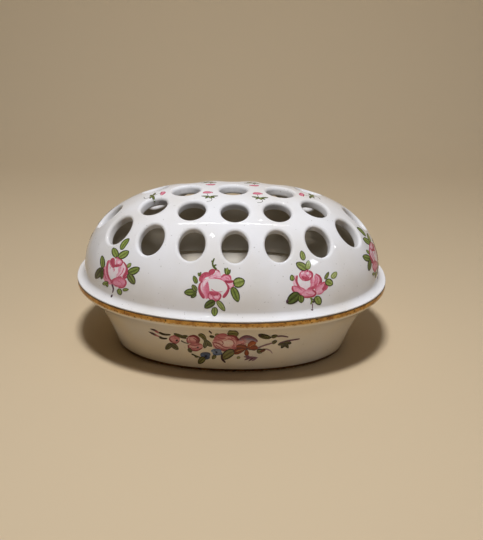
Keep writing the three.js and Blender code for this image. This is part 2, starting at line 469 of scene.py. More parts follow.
def ring(half_length: float, half_depth: float, height: float, steps: int = ROUND_STEPS) -> Array:
    """Give the points of a level oval ring."""
    angles = np.linspace(0, 2 * math.pi, steps, endpoint=False)
    flat = oval(half_length, half_depth, angles)
    return np.column_stack((flat, np.full(steps, height)))


def run_lengths(line: Array) -> Array:
    """Give how far along a line each of its points lies."""
    steps = np.linalg.norm(np.diff(line, axis=0), axis=1)
    return np.concatenate(([0.0], np.cumsum(steps)))


class Shell:
    """A surface whose level sections are ovals."""

    def half_sizes(self, heights: Array) -> tuple[Array, Array]:
        """Give the half length and half depth at some heights."""
        raise NotImplementedError

    def size_at(self, height: float) -> tuple[float, float]:
        """Give the half length and half depth at one height."""
        length, depth = self.half_sizes(np.array(height))
        return float(length), float(depth)

    def outside(self, points: Array) -> Array:
        """Tell how far points are outside: negative inside, zero on the shell."""
        tiny = 1e-9
        length, depth = self.half_sizes(points[:, 2])
        return (
            ((np.abs(points[:, 0]) + tiny) / length) ** PLAN_FULLNESS
            + ((np.abs(points[:, 1]) + tiny) / depth) ** PLAN_FULLNESS
            - 1
        )

    def normals(self, points: Array) -> Array:
        """Give the outward directions at points of the shell."""
        rise = 1e-4
        length, depth = self.half_sizes(points[:, 2])
        above, below = (self.half_sizes(points[:, 2] + d) for d in (rise, -rise))
        lean_length, lean_depth = ((a - b) / (2 * rise) for a, b in zip(above, below))
        share_x, share_y = points[:, 0] / length, points[:, 1] / depth
        power = PLAN_FULLNESS - 1
        slope_x = np.sign(share_x) * np.abs(share_x) ** power / length
        slope_y = np.sign(share_y) * np.abs(share_y) ** power / depth
        slope_z = -(
            np.abs(share_x) ** PLAN_FULLNESS * lean_length / length
            + np.abs(share_y) ** PLAN_FULLNESS * lean_depth / depth
        )
        steep = np.column_stack((slope_x, slope_y, slope_z))
        steepness = np.linalg.norm(steep, axis=1, keepdims=True)
        flat_top = ~(np.isfinite(steepness) & (steepness > 0)).ravel()
        steep[flat_top], steepness[flat_top] = (0, 0, 1), 1
        return steep / steepness

    def onto(
        self, points: Array, direction: Array, reach: float = 16.0, outward: float = 4.0
    ) -> Array:
        """Slide points along an outward direction until they lie on the shell.

        Args:
            points: Points near the shell.
            direction: The direction that leads out of the shell.
            reach: The farthest that a point moves inwards.
            outward: The farthest that a point moves outwards.

        Returns:
            The points on the shell.
        """
        low, high = np.full(len(points), -reach), np.full(len(points), outward)
        for _ in range(HALVINGS):
            middle = (low + high) / 2
            out = self.outside(points + middle[:, None] * direction) > 0
            high = np.where(out, middle, high)
            low = np.where(out, low, middle)
        return points + high[:, None] * direction

    def hit(self, eye: Array, rays: Array, near: float, far: float) -> Array:
        """Find where lines of sight first meet the shell.

        Args:
            eye: The point that the lines start from.
            rays: One direction for each line.
            near: A distance before the shell.
            far: A distance behind its near side.

        Returns:
            The points on the shell.
        """
        first = np.full(len(rays), far)
        for distance in np.linspace(far, near, LOOK_STEPS):
            inside = self.outside(eye + distance * rays) < 0
            first = np.where(inside, distance, first)
        low, high = first - (far - near) / (LOOK_STEPS - 1), first
        for _ in range(HALVINGS):
            middle = (low + high) / 2
            inside = self.outside(eye + middle[:, None] * rays) < 0
            high = np.where(inside, middle, high)
            low = np.where(inside, low, middle)
        return eye + high[:, None] * rays


@dataclass(frozen=True)
class BowlWall(Shell):
    """The bowl's wall: a lean with a late flare, then the rim's upright edge."""

    rim: tuple[float, float] = (199.8, 139.8)  # leaves room for the gold
    foot: tuple[float, float] = (150.0, 91.5)
    rise: float = 48.35
    rim_edge: float = 4.2
    edge_softness: float = 0.012  # share of the height over which the flare turns upright
    flare: float = 10.0
    flare_power: float = 4.0
    offset: float = 0.0

    def half_sizes(self, heights: Array) -> tuple[Array, Array]:
        """Give the half length and half depth at some heights."""
        share = np.clip(np.asarray(heights, float), 0, self.rise) / (self.rise - self.rim_edge)
        soft = self.edge_softness
        share = share - soft * np.log1p(np.exp((share - 1) / soft))
        turned = self.flare * (share**self.flare_power - share)
        length, depth = (
            (foot + (rim - foot) * share) / 2 + turned + self.offset
            for rim, foot in zip(self.rim, self.foot)
        )
        return length, depth


@dataclass(frozen=True)
class Dome(Shell):
    """The cover's dome. (run)^a + (rise)^b = 1 draws its section lengthways and across."""

    half_length: float
    half_depth: float
    foot: float
    rise: float
    lengthways: tuple[float, float] = (2.8, 2.1)
    across: tuple[float, float] = (2.45, 1.67)
    cove_run: float = 0.0
    cove_rise: float = 3.5
    cove_start: float = 0.3  # how far above the dome's foot the cove begins

    def cove(self, heights: Array) -> Array:
        """Give how far the cove has swept out at some heights."""
        drop = np.clip(self.foot + self.cove_start - np.asarray(heights, float), 0, self.cove_rise)
        return self.cove_run * (1 - np.sqrt(1 - (drop / self.cove_rise) ** 2))

    def half_sizes(self, heights: Array) -> tuple[Array, Array]:
        """Give the half length and half depth at some heights."""
        share = np.clip((np.asarray(heights, float) - self.foot) / self.rise, 0, 1)
        swept = self.cove(heights)
        tiny = 1e-30  # keeps the top's size above zero
        length, depth = (
            half * np.maximum(1 - share**rise, tiny) ** (1 / run) + swept
            for half, (run, rise) in (
                (self.half_length, self.lengthways), (self.half_depth, self.across)
            )
        )
        return length, depth

    def over(self, x: float, y: float) -> Array:
        """Give the point of the dome over a point of the plan."""
        above = np.array([[x, y, self.foot + self.rise]])
        return self.onto(above, UP, self.rise + 2)[0]


class DomeMap:
    """Lays a dome out nearly flat, so that points can be spread over it evenly."""

    def __init__(self, dome: Dome) -> None:
        """Measure the dome's sections from its top down to its edge."""
        self.dome = dome
        self.shares = np.sin(np.linspace(math.pi / 2, 0, SECTION_STEPS))
        halves = dome.half_sizes(dome.foot + dome.rise * self.shares)
        drops = dome.rise * (1 - self.shares)
        arcs = []
        for half in halves:
            half = np.where(self.shares >= 1, 0.0, half)
            arcs.append(run_lengths(np.column_stack((half, drops))))
        self.spans = np.array([arc[-1] for arc in arcs])
        self.reach = sum(arc / arc[-1] for arc in arcs) / 2

    def flat(self, points: Array) -> Array:
        """Give the flat places of points of the dome."""
        dome = self.dome
        share = np.clip((points[:, 2] - dome.foot) / dome.rise, 0, 1)
        reach = np.interp(share, self.shares[::-1], self.reach[::-1])
        halves = np.column_stack(dome.half_sizes(points[:, 2]))
        return reach[:, None] * self.spans * points[:, :2] / halves

    def solid(self, flat: Array) -> Array:
        """Give the points of the dome at flat places."""
        dome = self.dome
        tiny = 1e-9
        shares = np.abs(flat / self.spans) ** PLAN_FULLNESS
        reach = np.maximum(shares.sum(axis=1) ** (1 / PLAN_FULLNESS), tiny)
        share = np.interp(reach, self.reach, self.shares)
        heights = dome.foot + dome.rise * share
        halves = np.column_stack(dome.half_sizes(heights))
        plan = halves * flat / (self.spans * reach[:, None])
        return np.column_stack((plan, heights))

    def spread(self, spacing: float) -> Array:
        """Spread points over the flat dome in a honeycomb, clear of its edge."""
        columns = np.arange(-self.spans[0], self.spans[0], spacing)
        rows = np.arange(-self.spans[1], self.spans[1], spacing * math.sqrt(3) / 2)
        x, y = np.meshgrid(columns, rows)
        x[1::2] += spacing / 2
        flat = np.column_stack((x.ravel(), y.ravel()))
        edge_gap = 0.7 * spacing
        shares = np.abs(flat / (self.spans - edge_gap)) ** PLAN_FULLNESS
        return flat[shares.sum(axis=1) < 1]


def placed(name: str, data: bpy.types.ID) -> bpy.types.Object:
    """Make an object of a mesh, lamp or camera and link it to the scene."""
    made = bpy.data.objects.new(name, data)
    bpy.context.scene.collection.objects.link(made)
    return made


def stand(made: bpy.types.Object, place: Vector, axes: list[Vector]) -> None:
    """Stand an object at a place in metres, with its X, Y and Z along three directions."""
    made.matrix_world = Matrix.Translation(place) @ Matrix(axes).transposed().to_4x4()


class Clay:
    """Collects the points and faces of one piece before they become its mesh."""

    def __init__(self) -> None:
        """Start with nothing."""
        self.points: list[Array] = []
        self.normals: list[Array] = []
        self.values: list[Array] = []
        self.faces: list[tuple[int, ...]] = []
        self.groups: list[int] = []
        self.count = 0

    def add(self, points: Array, value: float | Array = 0.0, normals: Array | None = None) -> Array:
        """Add points.

        Args:
            points: One row for each point, in millimetres.
            value: What the piece's own attribute says there.
            normals: The directions that they face, or None to take them from the mesh.

        Returns:
            The points' numbers.
        """
        count = len(points)
        self.points.append(np.asarray(points, float))
        self.normals.append(np.full((count, 3), np.nan) if normals is None else normals)
        self.values.append(np.broadcast_to(np.asarray(value, float), (count,)))
        numbers = np.arange(self.count, self.count + count)
        self.count += count
        return numbers

    def face(self, corners: Array | list[int] | tuple[int, ...], group: int = 0) -> None:
        """Add one face in a material group."""
        self.faces.append(tuple(int(c) for c in corners))
        self.groups.append(group)

    def band(self, first: Array, second: Array, group: int = 0) -> None:
        """Join two closed rings of the same count with faces."""
        following = np.roll(first, -1), np.roll(second, -1)
        for corners in zip(first, following[0], following[1], second):
            self.face(corners, group)

    def cap(self, edge: Array, middle: Array, value: float = 0.0) -> None:
        """Close a ring with a fan round its middle point."""
        centre = self.add(np.asarray([middle]), value)[0]
        for a, b in zip(edge, np.roll(edge, -1)):
            self.face((a, b, centre))

    def fired(
        self, name: str, attribute: str, materials: list[bpy.types.Material]
    ) -> bpy.types.Object:
        """Make the piece's object.

        Args:
            name: The piece's name.
            attribute: The name of its own attribute.
            materials: A material for each group of faces.

        Returns:
            The object, linked to the scene.
        """
        mesh = bpy.data.meshes.new(name)
        mesh.from_pydata((np.concatenate(self.points) * MM).tolist(), [], self.faces)
        for material in materials:
            mesh.materials.append(material)
        mesh.polygons.foreach_set("material_index", self.groups)
        work = bmesh.new()
        work.from_mesh(mesh)
        bmesh.ops.recalc_face_normals(work, faces=work.faces)
        work.to_mesh(mesh)
        work.free()
        mesh.shade_smooth()
        layer = mesh.attributes.new(attribute, "FLOAT", "POINT")
        layer.data.foreach_set("value", np.concatenate(self.values).astype(np.float32))
        own = np.zeros(len(mesh.vertices) * 3, np.float32)
        mesh.vertex_normals.foreach_get("vector", own)
        wanted = np.concatenate(self.normals)
        facing = np.where(np.isnan(wanted), own.reshape(-1, 3), wanted)
        mesh.normals_split_custom_set_from_vertices(facing.tolist())
        return placed(name, mesh)


def turns(start: float, end: float, count: int) -> Array:
    """Share a turn in degrees into steps, both ends included, in radians."""
    return np.radians(np.linspace(start, end, count + 1))


def fit(piece: bpy.types.Object, body: str, node: str | None = None) -> None:
    """Fit a finished piece into the frame and report it.

    Args:
        piece: The piece.
        body: The body that it rides on.
        node: The solid that it stands for, if it stands for one.
    """
    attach(piece, body)
    if node:
        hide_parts(node)
    log.info("%s: %d faces", piece.name, len(piece.data.polygons))


# The bowl


@dataclass(frozen=True)
class Bowl:
    """The bowl: wall, rim, floor and foot ring."""

    wall: float = 5.0
    floor: float = 4.5
    foot_recess: float = 2.5
    foot_ring_width: float = 5.0
    foot_ring_slope: float = 1.5
    foot_round: float = 0.9
    rim_round: float = 0.4
    floor_corner: float = 9.0
    wall_start: float = 2.0  # the lowest level above the foot's round edge
    foot_levels: int = 4  # levels of points in each part
    outer_levels: int = 34
    inner_levels: int = 22
    corner_levels: int = 9
    rim_levels: int = 5
    rim_painted_light: float = 0.2  # how much painted light each part gets: its share of the lighter inside colour
    wall_painted_light: float = 0.3
    floor_painted_light: float = 0.6
    outside: BowlWall = field(default_factory=BowlWall)

    @property
    def inside(self) -> BowlWall:
        """Give the inside of the wall."""
        return BowlWall(offset=-self.wall)

    def levels(self) -> list[tuple[float, float, float, float]]:
        """List half length, half depth, height and share of painted light of each level, from
        below.
        """
        foot_length, foot_depth = self.outside.size_at(0.0)
        top = self.outside.rise
        found: list[tuple[float, float, float, float]] = []

        def put(length: float, depth: float, height: float, inner: float) -> None:
            found.append((length, depth, height, inner))

        ring_in = -self.foot_ring_width
        for offset, height in (
            (ring_in - self.foot_ring_slope, self.foot_recess),
            (ring_in, self.foot_round),
            (ring_in + 0.3 * self.foot_round, 0.25 * self.foot_round),
            (ring_in + self.foot_round, 0.0),
        ):
            put(foot_length + offset, foot_depth + offset, height, 0.0)
        for turn in turns(90, 0, self.foot_levels):
            height = self.foot_round * (1 - math.sin(turn))
            length, depth = self.outside.size_at(height)
            offset = -self.foot_round * (1 - math.cos(turn))
            put(length + offset, depth + offset, height, 0.0)
        for height in np.linspace(self.wall_start, top - self.rim_round, self.outer_levels):
            length, depth = self.outside.size_at(height)
            put(length, depth, height, 0.0)
        length, depth = self.outside.size_at(top)
        for turn in turns(15, 90, self.rim_levels):
            offset = -self.rim_round * (1 - math.cos(turn))
            height = top - self.rim_round * (1 - math.sin(turn))
            put(length + offset, depth + offset, height, 0.0)
        # Inside, the lighter inside colour is painted light, standing in for light through the
        # cover's holes; it grows towards the floor.
        for turn in turns(90, 15, self.rim_levels):
            offset = -self.wall + self.rim_round * (1 - math.cos(turn))
            height = top - self.rim_round * (1 - math.sin(turn))
            put(length + offset, depth + offset, height, self.rim_painted_light)
        floor_top = self.foot_recess + self.floor
        corner_top = floor_top + self.floor_corner
        painted_light_per_mm = (self.floor_painted_light - self.wall_painted_light) / (top - corner_top)
        for height in np.linspace(top - self.rim_round, corner_top, self.inner_levels):
            length, depth = self.inside.size_at(height)
            put(length, depth, height, self.wall_painted_light + painted_light_per_mm * (top - height))
        for turn in turns(9, 90, self.corner_levels):
            offset = self.floor_corner * (math.cos(turn) - 1)
            height = floor_top + self.floor_corner * (1 - math.sin(turn))
            put(length + offset, depth + offset, height, self.floor_painted_light)
        return found

    def build(self, porcelain: bpy.types.Material) -> bpy.types.Object:
        """Make the bowl's object."""
        clay = Clay()
        rings = [
            clay.add(ring(length, depth, height), inner)
            for length, depth, height, inner in self.levels()
        ]
        for low, high in zip(rings, rings[1:]):
            clay.band(low, high)
        clay.cap(rings[0], (0, 0, self.foot_recess))
        clay.cap(rings[-1], (0, 0, self.foot_recess + self.floor), self.floor_painted_light)
        return clay.fired("bowl_porcelain_body", "inside", [porcelain])


@dataclass(frozen=True)
class GoldBand:
    """A band of gold fired on the outside of the bowl."""

    name: str
    low: float
    high: float
    proud: float = 0.06
    sunk: float = 0.15
    waver: float = 0.12  # how far the lower edge leaves its height
    upper_waver: float = 0.3  # how much the upper edge wavers beside the lower one
    low_start: float = 1.3  # where round the bowl each edge's waves start
    high_start: float = 4.1
    steps: int = 12

    def edge(self, angles: Array, start: float) -> Array:
        """Give how far a hand-drawn edge wavers from its height at some angles."""
        waves = ((7, 0.5), (13, 0.35), (29, 0.2), (53, 0.12))
        return self.waver * sum(
            share * np.sin(count * angles + start * (i + 1.7))
            for i, (count, share) in enumerate(waves)
        )

    def build(self, wall: BowlWall, gold: bpy.types.Material) -> bpy.types.Object:
        """Make the band's object.

        Args:
            wall: The wall that carries it.
            gold: Its material.

        Returns:
            A thin closed band, proud of the wall and sunk a little into it.
        """
        clay = Clay()
        angles = np.linspace(0, 2 * math.pi, 2 * ROUND_STEPS, endpoint=False)
        low = self.low + self.edge(angles, self.low_start)
        high = self.high + self.upper_waver * self.edge(angles, self.high_start)
        rings = []
        rising = np.linspace(0, 1, self.steps)
        for offset, shares in ((self.proud, rising), (-self.sunk, (1.0, 0.0))):
            for share in shares:
                heights = low + (high - low) * share
                halves = wall.half_sizes(heights)
                unit = oval(1.0, 1.0, angles)
                plan = unit * np.column_stack(halves)
                points = np.column_stack((plan, heights))
                facing = wall.normals(points)
                seen = facing if offset > 0 else None
                rings.append(clay.add(points + offset * facing, share, seen))
        for first, second in zip(rings, rings[1:] + rings[:1]):
            clay.band(first, second)
        return clay.fired(self.name, "height", [gold])


# The pierced cover


@dataclass(frozen=True)
class HoleSize:
    """The clear opening of a stem hole, measured on the dome."""

    width: float
    height: float


@dataclass(frozen=True)
class StemHole:
    """A stem hole: its place, its own directions and its size."""

    centre: Array
    sideways: Array
    upward: Array
    axis: Array
    size: HoleSize

    def oval_at(self, grown: float, angles: Array) -> Array:
        """Give the hole's outline grown by a distance, in its own plane."""
        wide, high = self.size.width / 2 + grown, self.size.height / 2 + grown
        return (
            self.centre
            + wide * np.cos(angles)[:, None] * self.sideways
            + high * np.sin(angles)[:, None] * self.upward
        )

    def covers(self, points: Array, grown: float) -> Array:
        """Tell which points lie in the hole's outline grown by a distance."""
        off = points - self.centre
        across = off @ self.sideways / (self.size.width / 2 + grown)
        along = off @ self.upward / (self.size.height / 2 + grown)
        return (across**2 + along**2 < 1) & (np.abs(off @ self.axis) < NEAR_HOLE)

    def rolled(self, points: Array, lip: float) -> Array:
        """Lower points of the dome that lie over the hole's rounded lip onto it.

        Args:
            points: Points of the dome.
            lip: The width of the rounded lip.

        Returns:
            The points, those away from the hole unchanged.
        """
        tiny = 1e-6
        off = points - self.centre
        across, along = off @ self.sideways, off @ self.upward
        grown = np.hypot(2 * across / self.size.width, 2 * along / self.size.height)
        beyond = np.hypot(across, along) * (1 - 1 / np.maximum(grown, tiny))
        turned = 1 - np.clip(beyond / lip, 0, 1)
        sunk = lip * (1 - np.sqrt(1 - turned**2))
        near = np.abs(off @ self.axis) < NEAR_HOLE
        return points - np.where(near, sunk, 0.0)[:, None] * self.axis


@dataclass(frozen=True)
class PiercedCover:
    """The cover: dome, stem holes, flared lip and the ring that drops inside the bowl."""

    seat: float = 48.65  # the height at which its lip rests on the rim
    half_length: float = 95.0
    half_depth: float = 65.0
    rise: float = 53.2
    wall: float = 6.0
    lip_flare: float = 5.0
    lip_height: float = 4.0
    lip_edge: float = 0.8
    lip_top_round: float = 0.5
    lip_under_round: float = 0.3
    ring_depth: float = 9.0
    ring_thickness: float = 3.2
    ring_clearance: float = 1.2
    ring_edge: float = 0.8
    ring_root: float = 0.5
    outer_hole: HoleSize = HoleSize(15.8, 19.6)
    inner_hole: HoleSize = HoleSize(16.6, 16.6)
    middle_hole: HoleSize = HoleSize(17.0, 17.0)
    outer_row_in: float = 0.25  # share of the way from the dome's edge to its middle line
    inner_row_in: float = 0.576
    outer_row_shift: float = 1.9  # round the row, from the front middle
    inner_row_shift: float = 1.3
    inner_pitch: float = 26.1
    middle_pitch: float = 29.5
    outer_count: int = 16
    inner_count: int = 5
    middle_count: int = 3
    hole_lip: float = 2.2
    hole_inner_lip: float = 1.2
    hole_steps: int = 48
    mouth_levels: int = 6
    inner_mouth_levels: int = 4
    cove_levels: int = 12
    lip_top_levels: int = 6
    lip_under_levels: int = 5
    throat_painted_shade: float = 0.15  # painted shade: how much of the greyer inside colour the throats get
    # painted shade: how much of the greyer inside colour the ring gets
    ring_painted_shade: float = 0.8
    spacing: float = 1.9  # of the points spread over the dome

    @property
    def dome(self) -> Dome:
        """Give the outside of the dome."""
        return Dome(
            self.half_length,
            self.half_depth,
            self.seat + self.lip_height,
            self.rise,
            cove_run=self.lip_flare - self.lip_top_round,
        )

    @property
    def inner_dome(self) -> Dome:
        """Give the inside of the dome."""
        return Dome(
            self.half_length - self.wall,
            self.half_depth - self.wall,
            self.seat + self.lip_height,
            self.rise - self.wall,
        )

    def hole_at(self, x: float, y: float, along: Array, size: HoleSize) -> StemHole:
        """Place a hole over a point of the plan.

        Args:
            x: Place along the length.
            y: Place across it.
            along: The direction of the row.
            size: The hole's clear opening.

        Returns:
            The hole, square to the dome.
        """
        centre = self.dome.over(x, y)
        axis = self.dome.normals(centre[None])[0]
        upward = np.cross(axis, along)
        upward /= np.linalg.norm(upward)
        return StemHole(centre, np.cross(upward, axis), upward, axis, size)

    def row(
        self, share_in: float, offsets: Callable[[float], Array], size: HoleSize
    ) -> list[StemHole]:
        """Place a row of holes round the dome.

        Args:
            share_in: Share of the way from the dome's edge to its middle line.
            offsets: Gives the holes' distances from the front middle for the row's length.
            size: Their clear opening.

        Returns:
            The row's holes.
        """
        inset = share_in * self.half_depth
        nearby = 0.5  # along the row, to find its direction
        angles = np.linspace(-math.pi / 2, 3 * math.pi / 2, ROW_STEPS)
        line = oval(self.half_length - inset, self.half_depth - inset, angles)
        arcs = run_lengths(line)
        holes = []
        for offset in offsets(arcs[-1]):
            place = offset % arcs[-1]
            x, y = (np.interp(place, arcs, line[:, i]) for i in (0, 1))
            ahead = [np.interp((place + nearby) % arcs[-1], arcs, line[:, i]) for i in (0, 1)]
            along = np.array([ahead[0] - x, ahead[1] - y, 0.0])
            holes.append(self.hole_at(x, y, along / np.linalg.norm(along), size))
        return holes

    def holes(self) -> list[StemHole]:
        """Give all the stem holes: two rows round the dome and one along its middle."""
        centred = self.inner_pitch * (np.arange(self.inner_count) - (self.inner_count - 1) / 2)
        outer = self.row(
            self.outer_row_in,
            lambda length: length * np.arange(self.outer_count) / self.outer_count
            + self.outer_row_shift,
            self.outer_hole,
        )
        inner = self.row(
            self.inner_row_in,
            lambda length: np.concatenate((centred, length / 2 + centred)) + self.inner_row_shift,
            self.inner_hole,
        )
        along = np.array([1.0, 0.0, 0.0])
        places = self.middle_pitch * (np.arange(self.middle_count) - (self.middle_count - 1) / 2)
        middle = [self.hole_at(x, 0.0, along, self.middle_hole) for x in places]
        return outer + inner + middle

    def skin(
        self,
        clay: Clay,
        dome: Dome,
        holes: list[StemHole],
        mouths: list[Array],
        edge: Array,
        inner: float,
    ) -> None:
        """Cover a dome with triangles between its edge and its hole mouths.

        Args:
            clay: The piece so far.
            dome: The dome to cover.
            holes: Its holes.
            mouths: The numbers of each hole's mouth points.
            edge: The numbers of the dome's edge points.
            inner: How much of the greyer inside colour, painted shade, the surface gets; under a
                half it is the outer dome.
        """
        laid_out = DomeMap(dome)
        solid = laid_out.solid(laid_out.spread(self.spacing))
        outer = inner < 0.5
        mouth = self.hole_lip if outer else self.hole_inner_lip
        mouth_gap = 0.45 * self.spacing
        for hole in holes:
            solid = solid[~hole.covers(solid, mouth + mouth_gap)]
        facing = dome.normals(solid)
        fresh = clay.add(solid, inner, facing if outer else -facing)
        placed = np.concatenate(clay.points)
        numbers = np.concatenate((edge, *mouths, fresh))
        owner = np.full(len(numbers), -1)
        sides: list[tuple[int, int]] = []
        start = 0
        for mark, loop in enumerate((edge, *mouths)):
            steps = np.arange(start, start + len(loop))
            sides += list(zip(steps.tolist(), np.roll(steps, -1).tolist()))
            owner[steps] = mark
            start += len(loop)
        flat = [Vector(p) for p in laid_out.flat(placed[numbers])]
        result = delaunay_2d_cdt(flat, sides, [], 0, SAME_PLACE)
        origins = [from_input[0] for from_input in result[3]]
        for triangle in result[2]:
            corners = [origins[c] for c in triangle]
            owners = {int(owner[c]) for c in corners}
            if len(owners) == 1 and next(iter(owners)) > 0:
                continue
            clay.face([numbers[c] for c in corners])

    def throat(self, clay: Clay, hole: StemHole) -> tuple[Array, Array]:
        """Build the wall of one hole, rounded outside and in.

        Args:
            clay: The piece so far.
            hole: The hole.

        Returns:
            The numbers of its mouth points on the outer and on the inner dome.
        """
        angles = np.linspace(0, 2 * math.pi, self.hole_steps, endpoint=False)
        axis = hole.axis
        inner_reach = 24.0  # past the wall, from the hole's own plane to the inner dome
        rings = []
        for turn in turns(0, 90, self.mouth_levels):
            flat = hole.oval_at(self.hole_lip * (1 - math.sin(turn)), angles)
            laid = self.dome.onto(flat, axis)
            facing = self.dome.normals(laid) if turn == 0 else None
            sunk = laid - axis * self.hole_lip * (1 - math.cos(turn))
            rings.append(clay.add(sunk, 0.0, facing))
        clear = hole.oval_at(0.0, angles)
        top = self.dome.onto(clear, axis) - axis * self.hole_lip
        bottom = self.inner_dome.onto(clear, axis, inner_reach) + axis * self.hole_inner_lip
        # the throat grades into the greyer inside colour: painted shade in the hole
        for share in (0.25, 0.5, 0.75):
            rings.append(clay.add(top + (bottom - top) * share, self.throat_painted_shade * share))
        for turn in turns(90, 0, self.inner_mouth_levels):
            flat = hole.oval_at(self.hole_inner_lip * (1 - math.sin(turn)), angles)
            laid = self.inner_dome.onto(flat, axis, inner_reach)
            facing = -self.inner_dome.normals(laid) if turn == 0 else None
            raised = laid + axis * self.hole_inner_lip * (1 - math.cos(turn))
            inner = 1.0 - (1.0 - self.throat_painted_shade) * math.sin(turn)
            rings.append(clay.add(raised, inner, facing))
        for first, second in zip(rings, rings[1:]):
            clay.band(first, second)
        return rings[0], rings[-1]

    def lip_levels(self) -> list[tuple[float, float, float]]:
        """List growth past the dome's edge, height above the seat and share of painted shade of the
        lip.
        """
        top, under = self.lip_top_round, self.lip_under_round
        dome = self.dome
        start = math.asin(dome.cove_start / dome.cove_rise)
        highest = self.lip_height + dome.cove_start
        sweep = [
            (dome.cove_run * (1 - math.cos(t)), highest - dome.cove_rise * math.sin(t), 0.0)
            for t in np.linspace(start, math.pi / 2, self.cove_levels)[1:]
        ]
        over = [
            (self.lip_flare + top * (math.cos(t) - 1), self.lip_edge - top * (1 - math.sin(t)), 0.0)
            for t in turns(75, 0, self.lip_top_levels)
        ]
        below = [
            (self.lip_flare + under * (math.cos(t) - 1), under * (1 + math.sin(t)), 0.0)
            for t in turns(-10, -90, self.lip_under_levels)
        ]
        return sweep + over + below

    def ring_levels(self) -> list[tuple[float, float]]:
        """List depth below the seat and growth of the ring that drops inside the bowl."""
        deep, thick, edge = self.ring_depth, self.ring_thickness, self.ring_edge
        outside = [(0.0, 0.0), (self.ring_root, 0.0), (deep - edge, 0.0)]
        under = [(deep - edge / 4, -3 * edge / 8), (deep, -edge), (deep, edge - thick)]
        return outside + under + [(deep - 3 * edge / 4, -thick)]

    def build(self, porcelain: bpy.types.Material) -> bpy.types.Object:
        """Make the cover's object."""
        clay = Clay()
        holes = self.holes()
        mouths = [self.throat(clay, hole) for hole in holes]
        dome, inner_dome = self.dome, self.inner_dome
        edge_points = ring(*dome.size_at(dome.foot), dome.foot)
        edge = clay.add(edge_points, 0.0, dome.normals(edge_points))
        self.skin(clay, dome, holes, [m[0] for m in mouths], edge, 0.0)
        rings = [edge]
        for grown, height, inner in self.lip_levels():
            points = ring(self.half_length + grown, self.half_depth + grown, self.seat + height)
            rings.append(clay.add(points, inner))
        bowl_inside = BowlWall(offset=-Bowl().wall - self.ring_clearance)
        top = bowl_inside.rise
        for below, grown in self.ring_levels():
            length, depth = bowl_inside.size_at(top - below)
            points = ring(length + grown, depth + grown, self.seat - below)
            rings.append(clay.add(points, self.ring_painted_shade))
        # the inner dome gets the full greyer inside colour: painted shade in the cover's hollow
        inner_points = ring(inner_dome.half_length, inner_dome.half_depth, inner_dome.foot)
        rings.append(clay.add(inner_points, 1.0, -inner_dome.normals(inner_points)))
        for first, second in zip(rings, rings[1:]):
            clay.band(first, second)
        self.skin(clay, inner_dome, holes, [m[1] for m in mouths], rings[-1], 1.0)
        return clay.fired("pierced_cover_porcelain_body", "inside", [porcelain])


# The picture's camera


@dataclass(frozen=True)
class PictureCamera:
    """The camera of the picture: where it stands and how it looks at the jardiniere."""

    width: int = 483
    height: int = 540
    focal_pixels: float = 850.0
    distance: float = 556.4
    tilt: float = 24.94
    roll: float = -1.24
    turn: float = 0.34
    aside: float = 6.27
    aim_height: float = 49.96
    nearest: float = 380.0  # what it looks at lies between these distances
    farthest: float = 620.0
    sensor: float = 36.0
    clip_start: float = 10.0

    def axes(self) -> tuple[Array, Array, Array]:
        """Give the camera's right, up and forward directions."""
        tilt, roll, turn = (math.radians(a) for a in (self.tilt, self.roll, self.turn))
        forward = np.array([0.0, math.cos(tilt), -math.sin(tilt)])
        level, rising = np.array([1.0, 0, 0]), np.array([0.0, math.sin(tilt), math.cos(tilt)])
        right = math.cos(roll) * level - math.sin(roll) * rising
        up = math.sin(roll) * level + math.cos(roll) * rising
        spin = np.array(
            [[math.cos(turn), math.sin(turn), 0], [-math.sin(turn), math.cos(turn), 0], [0, 0, 1]]
        )
        return spin @ right, spin @ up, spin @ forward

    def eye(self) -> Array:
        """Give the camera's place."""
        tilt, turn = math.radians(self.tilt), math.radians(self.turn)
        x, y = self.aside, -self.distance * math.cos(tilt)
        return np.array(
            [
                math.cos(turn) * x + math.sin(turn) * y,
                -math.sin(turn) * x + math.cos(turn) * y,
                self.aim_height + self.distance * math.sin(tilt),
            ]
        )

    def seen_on(self, shell: Shell, pixels: Array) -> Array:
        """Give the points of a shell that show at some pixels of the picture."""
        right, up, forward = self.axes()
        across = (pixels[:, :1] - self.width / 2) / self.focal_pixels
        above = (self.height / 2 - pixels[:, 1:]) / self.focal_pixels
        rays = forward + across * right + above * up
        return shell.hit(self.eye(), rays, self.nearest, self.farthest)

    def build(self) -> None:
        """Make the camera and give it to the scene."""
        right, up, forward = self.axes()
        data = bpy.data.cameras.new("picture_camera")
        data.sensor_width = self.sensor
        data.lens = self.focal_pixels / self.height * self.sensor
        data.clip_start = self.clip_start * MM
        made = placed("picture_camera", data)
        stand(made, Vector(self.eye() * MM), [Vector(right), Vector(up), Vector(-forward)])
        bpy.context.scene.camera = made


# The painting


class Outline(Enum):
    """How wide a brush stroke is from its start (0) to its end (1)."""

    ALMOND = "almond"
    LEAF = "leaf"
    PETAL = "petal"
    LINE = "line"
    SWELL = "swell"
    DROP = "drop"

    def width(self, along: Array) -> Array:
        """Give the share of the full width at places along the stroke."""
        if self is Outline.ALMOND:
            shape = np.sin(np.pi * along) ** 0.85
        elif self is Outline.LEAF:
            shape = (1 - np.abs(2 * along**0.85 - 1) ** 2.2) ** 0.65
        elif self is Outline.PETAL:
            shape = (1 - np.abs(2 * along - 1) ** 2.6) ** 0.5
        elif self is Outline.LINE:
            shape = (1 - np.abs(2 * along - 1) ** 9) ** 0.5 * (1 - 0.35 * along)
        elif self is Outline.SWELL:
            shape = (0.3 + 0.7 * along) * (1 - along**9) ** 0.5
        else:
            shape = np.sin(np.pi * along**1.35) ** 0.8
        return np.maximum(shape, 0.05)


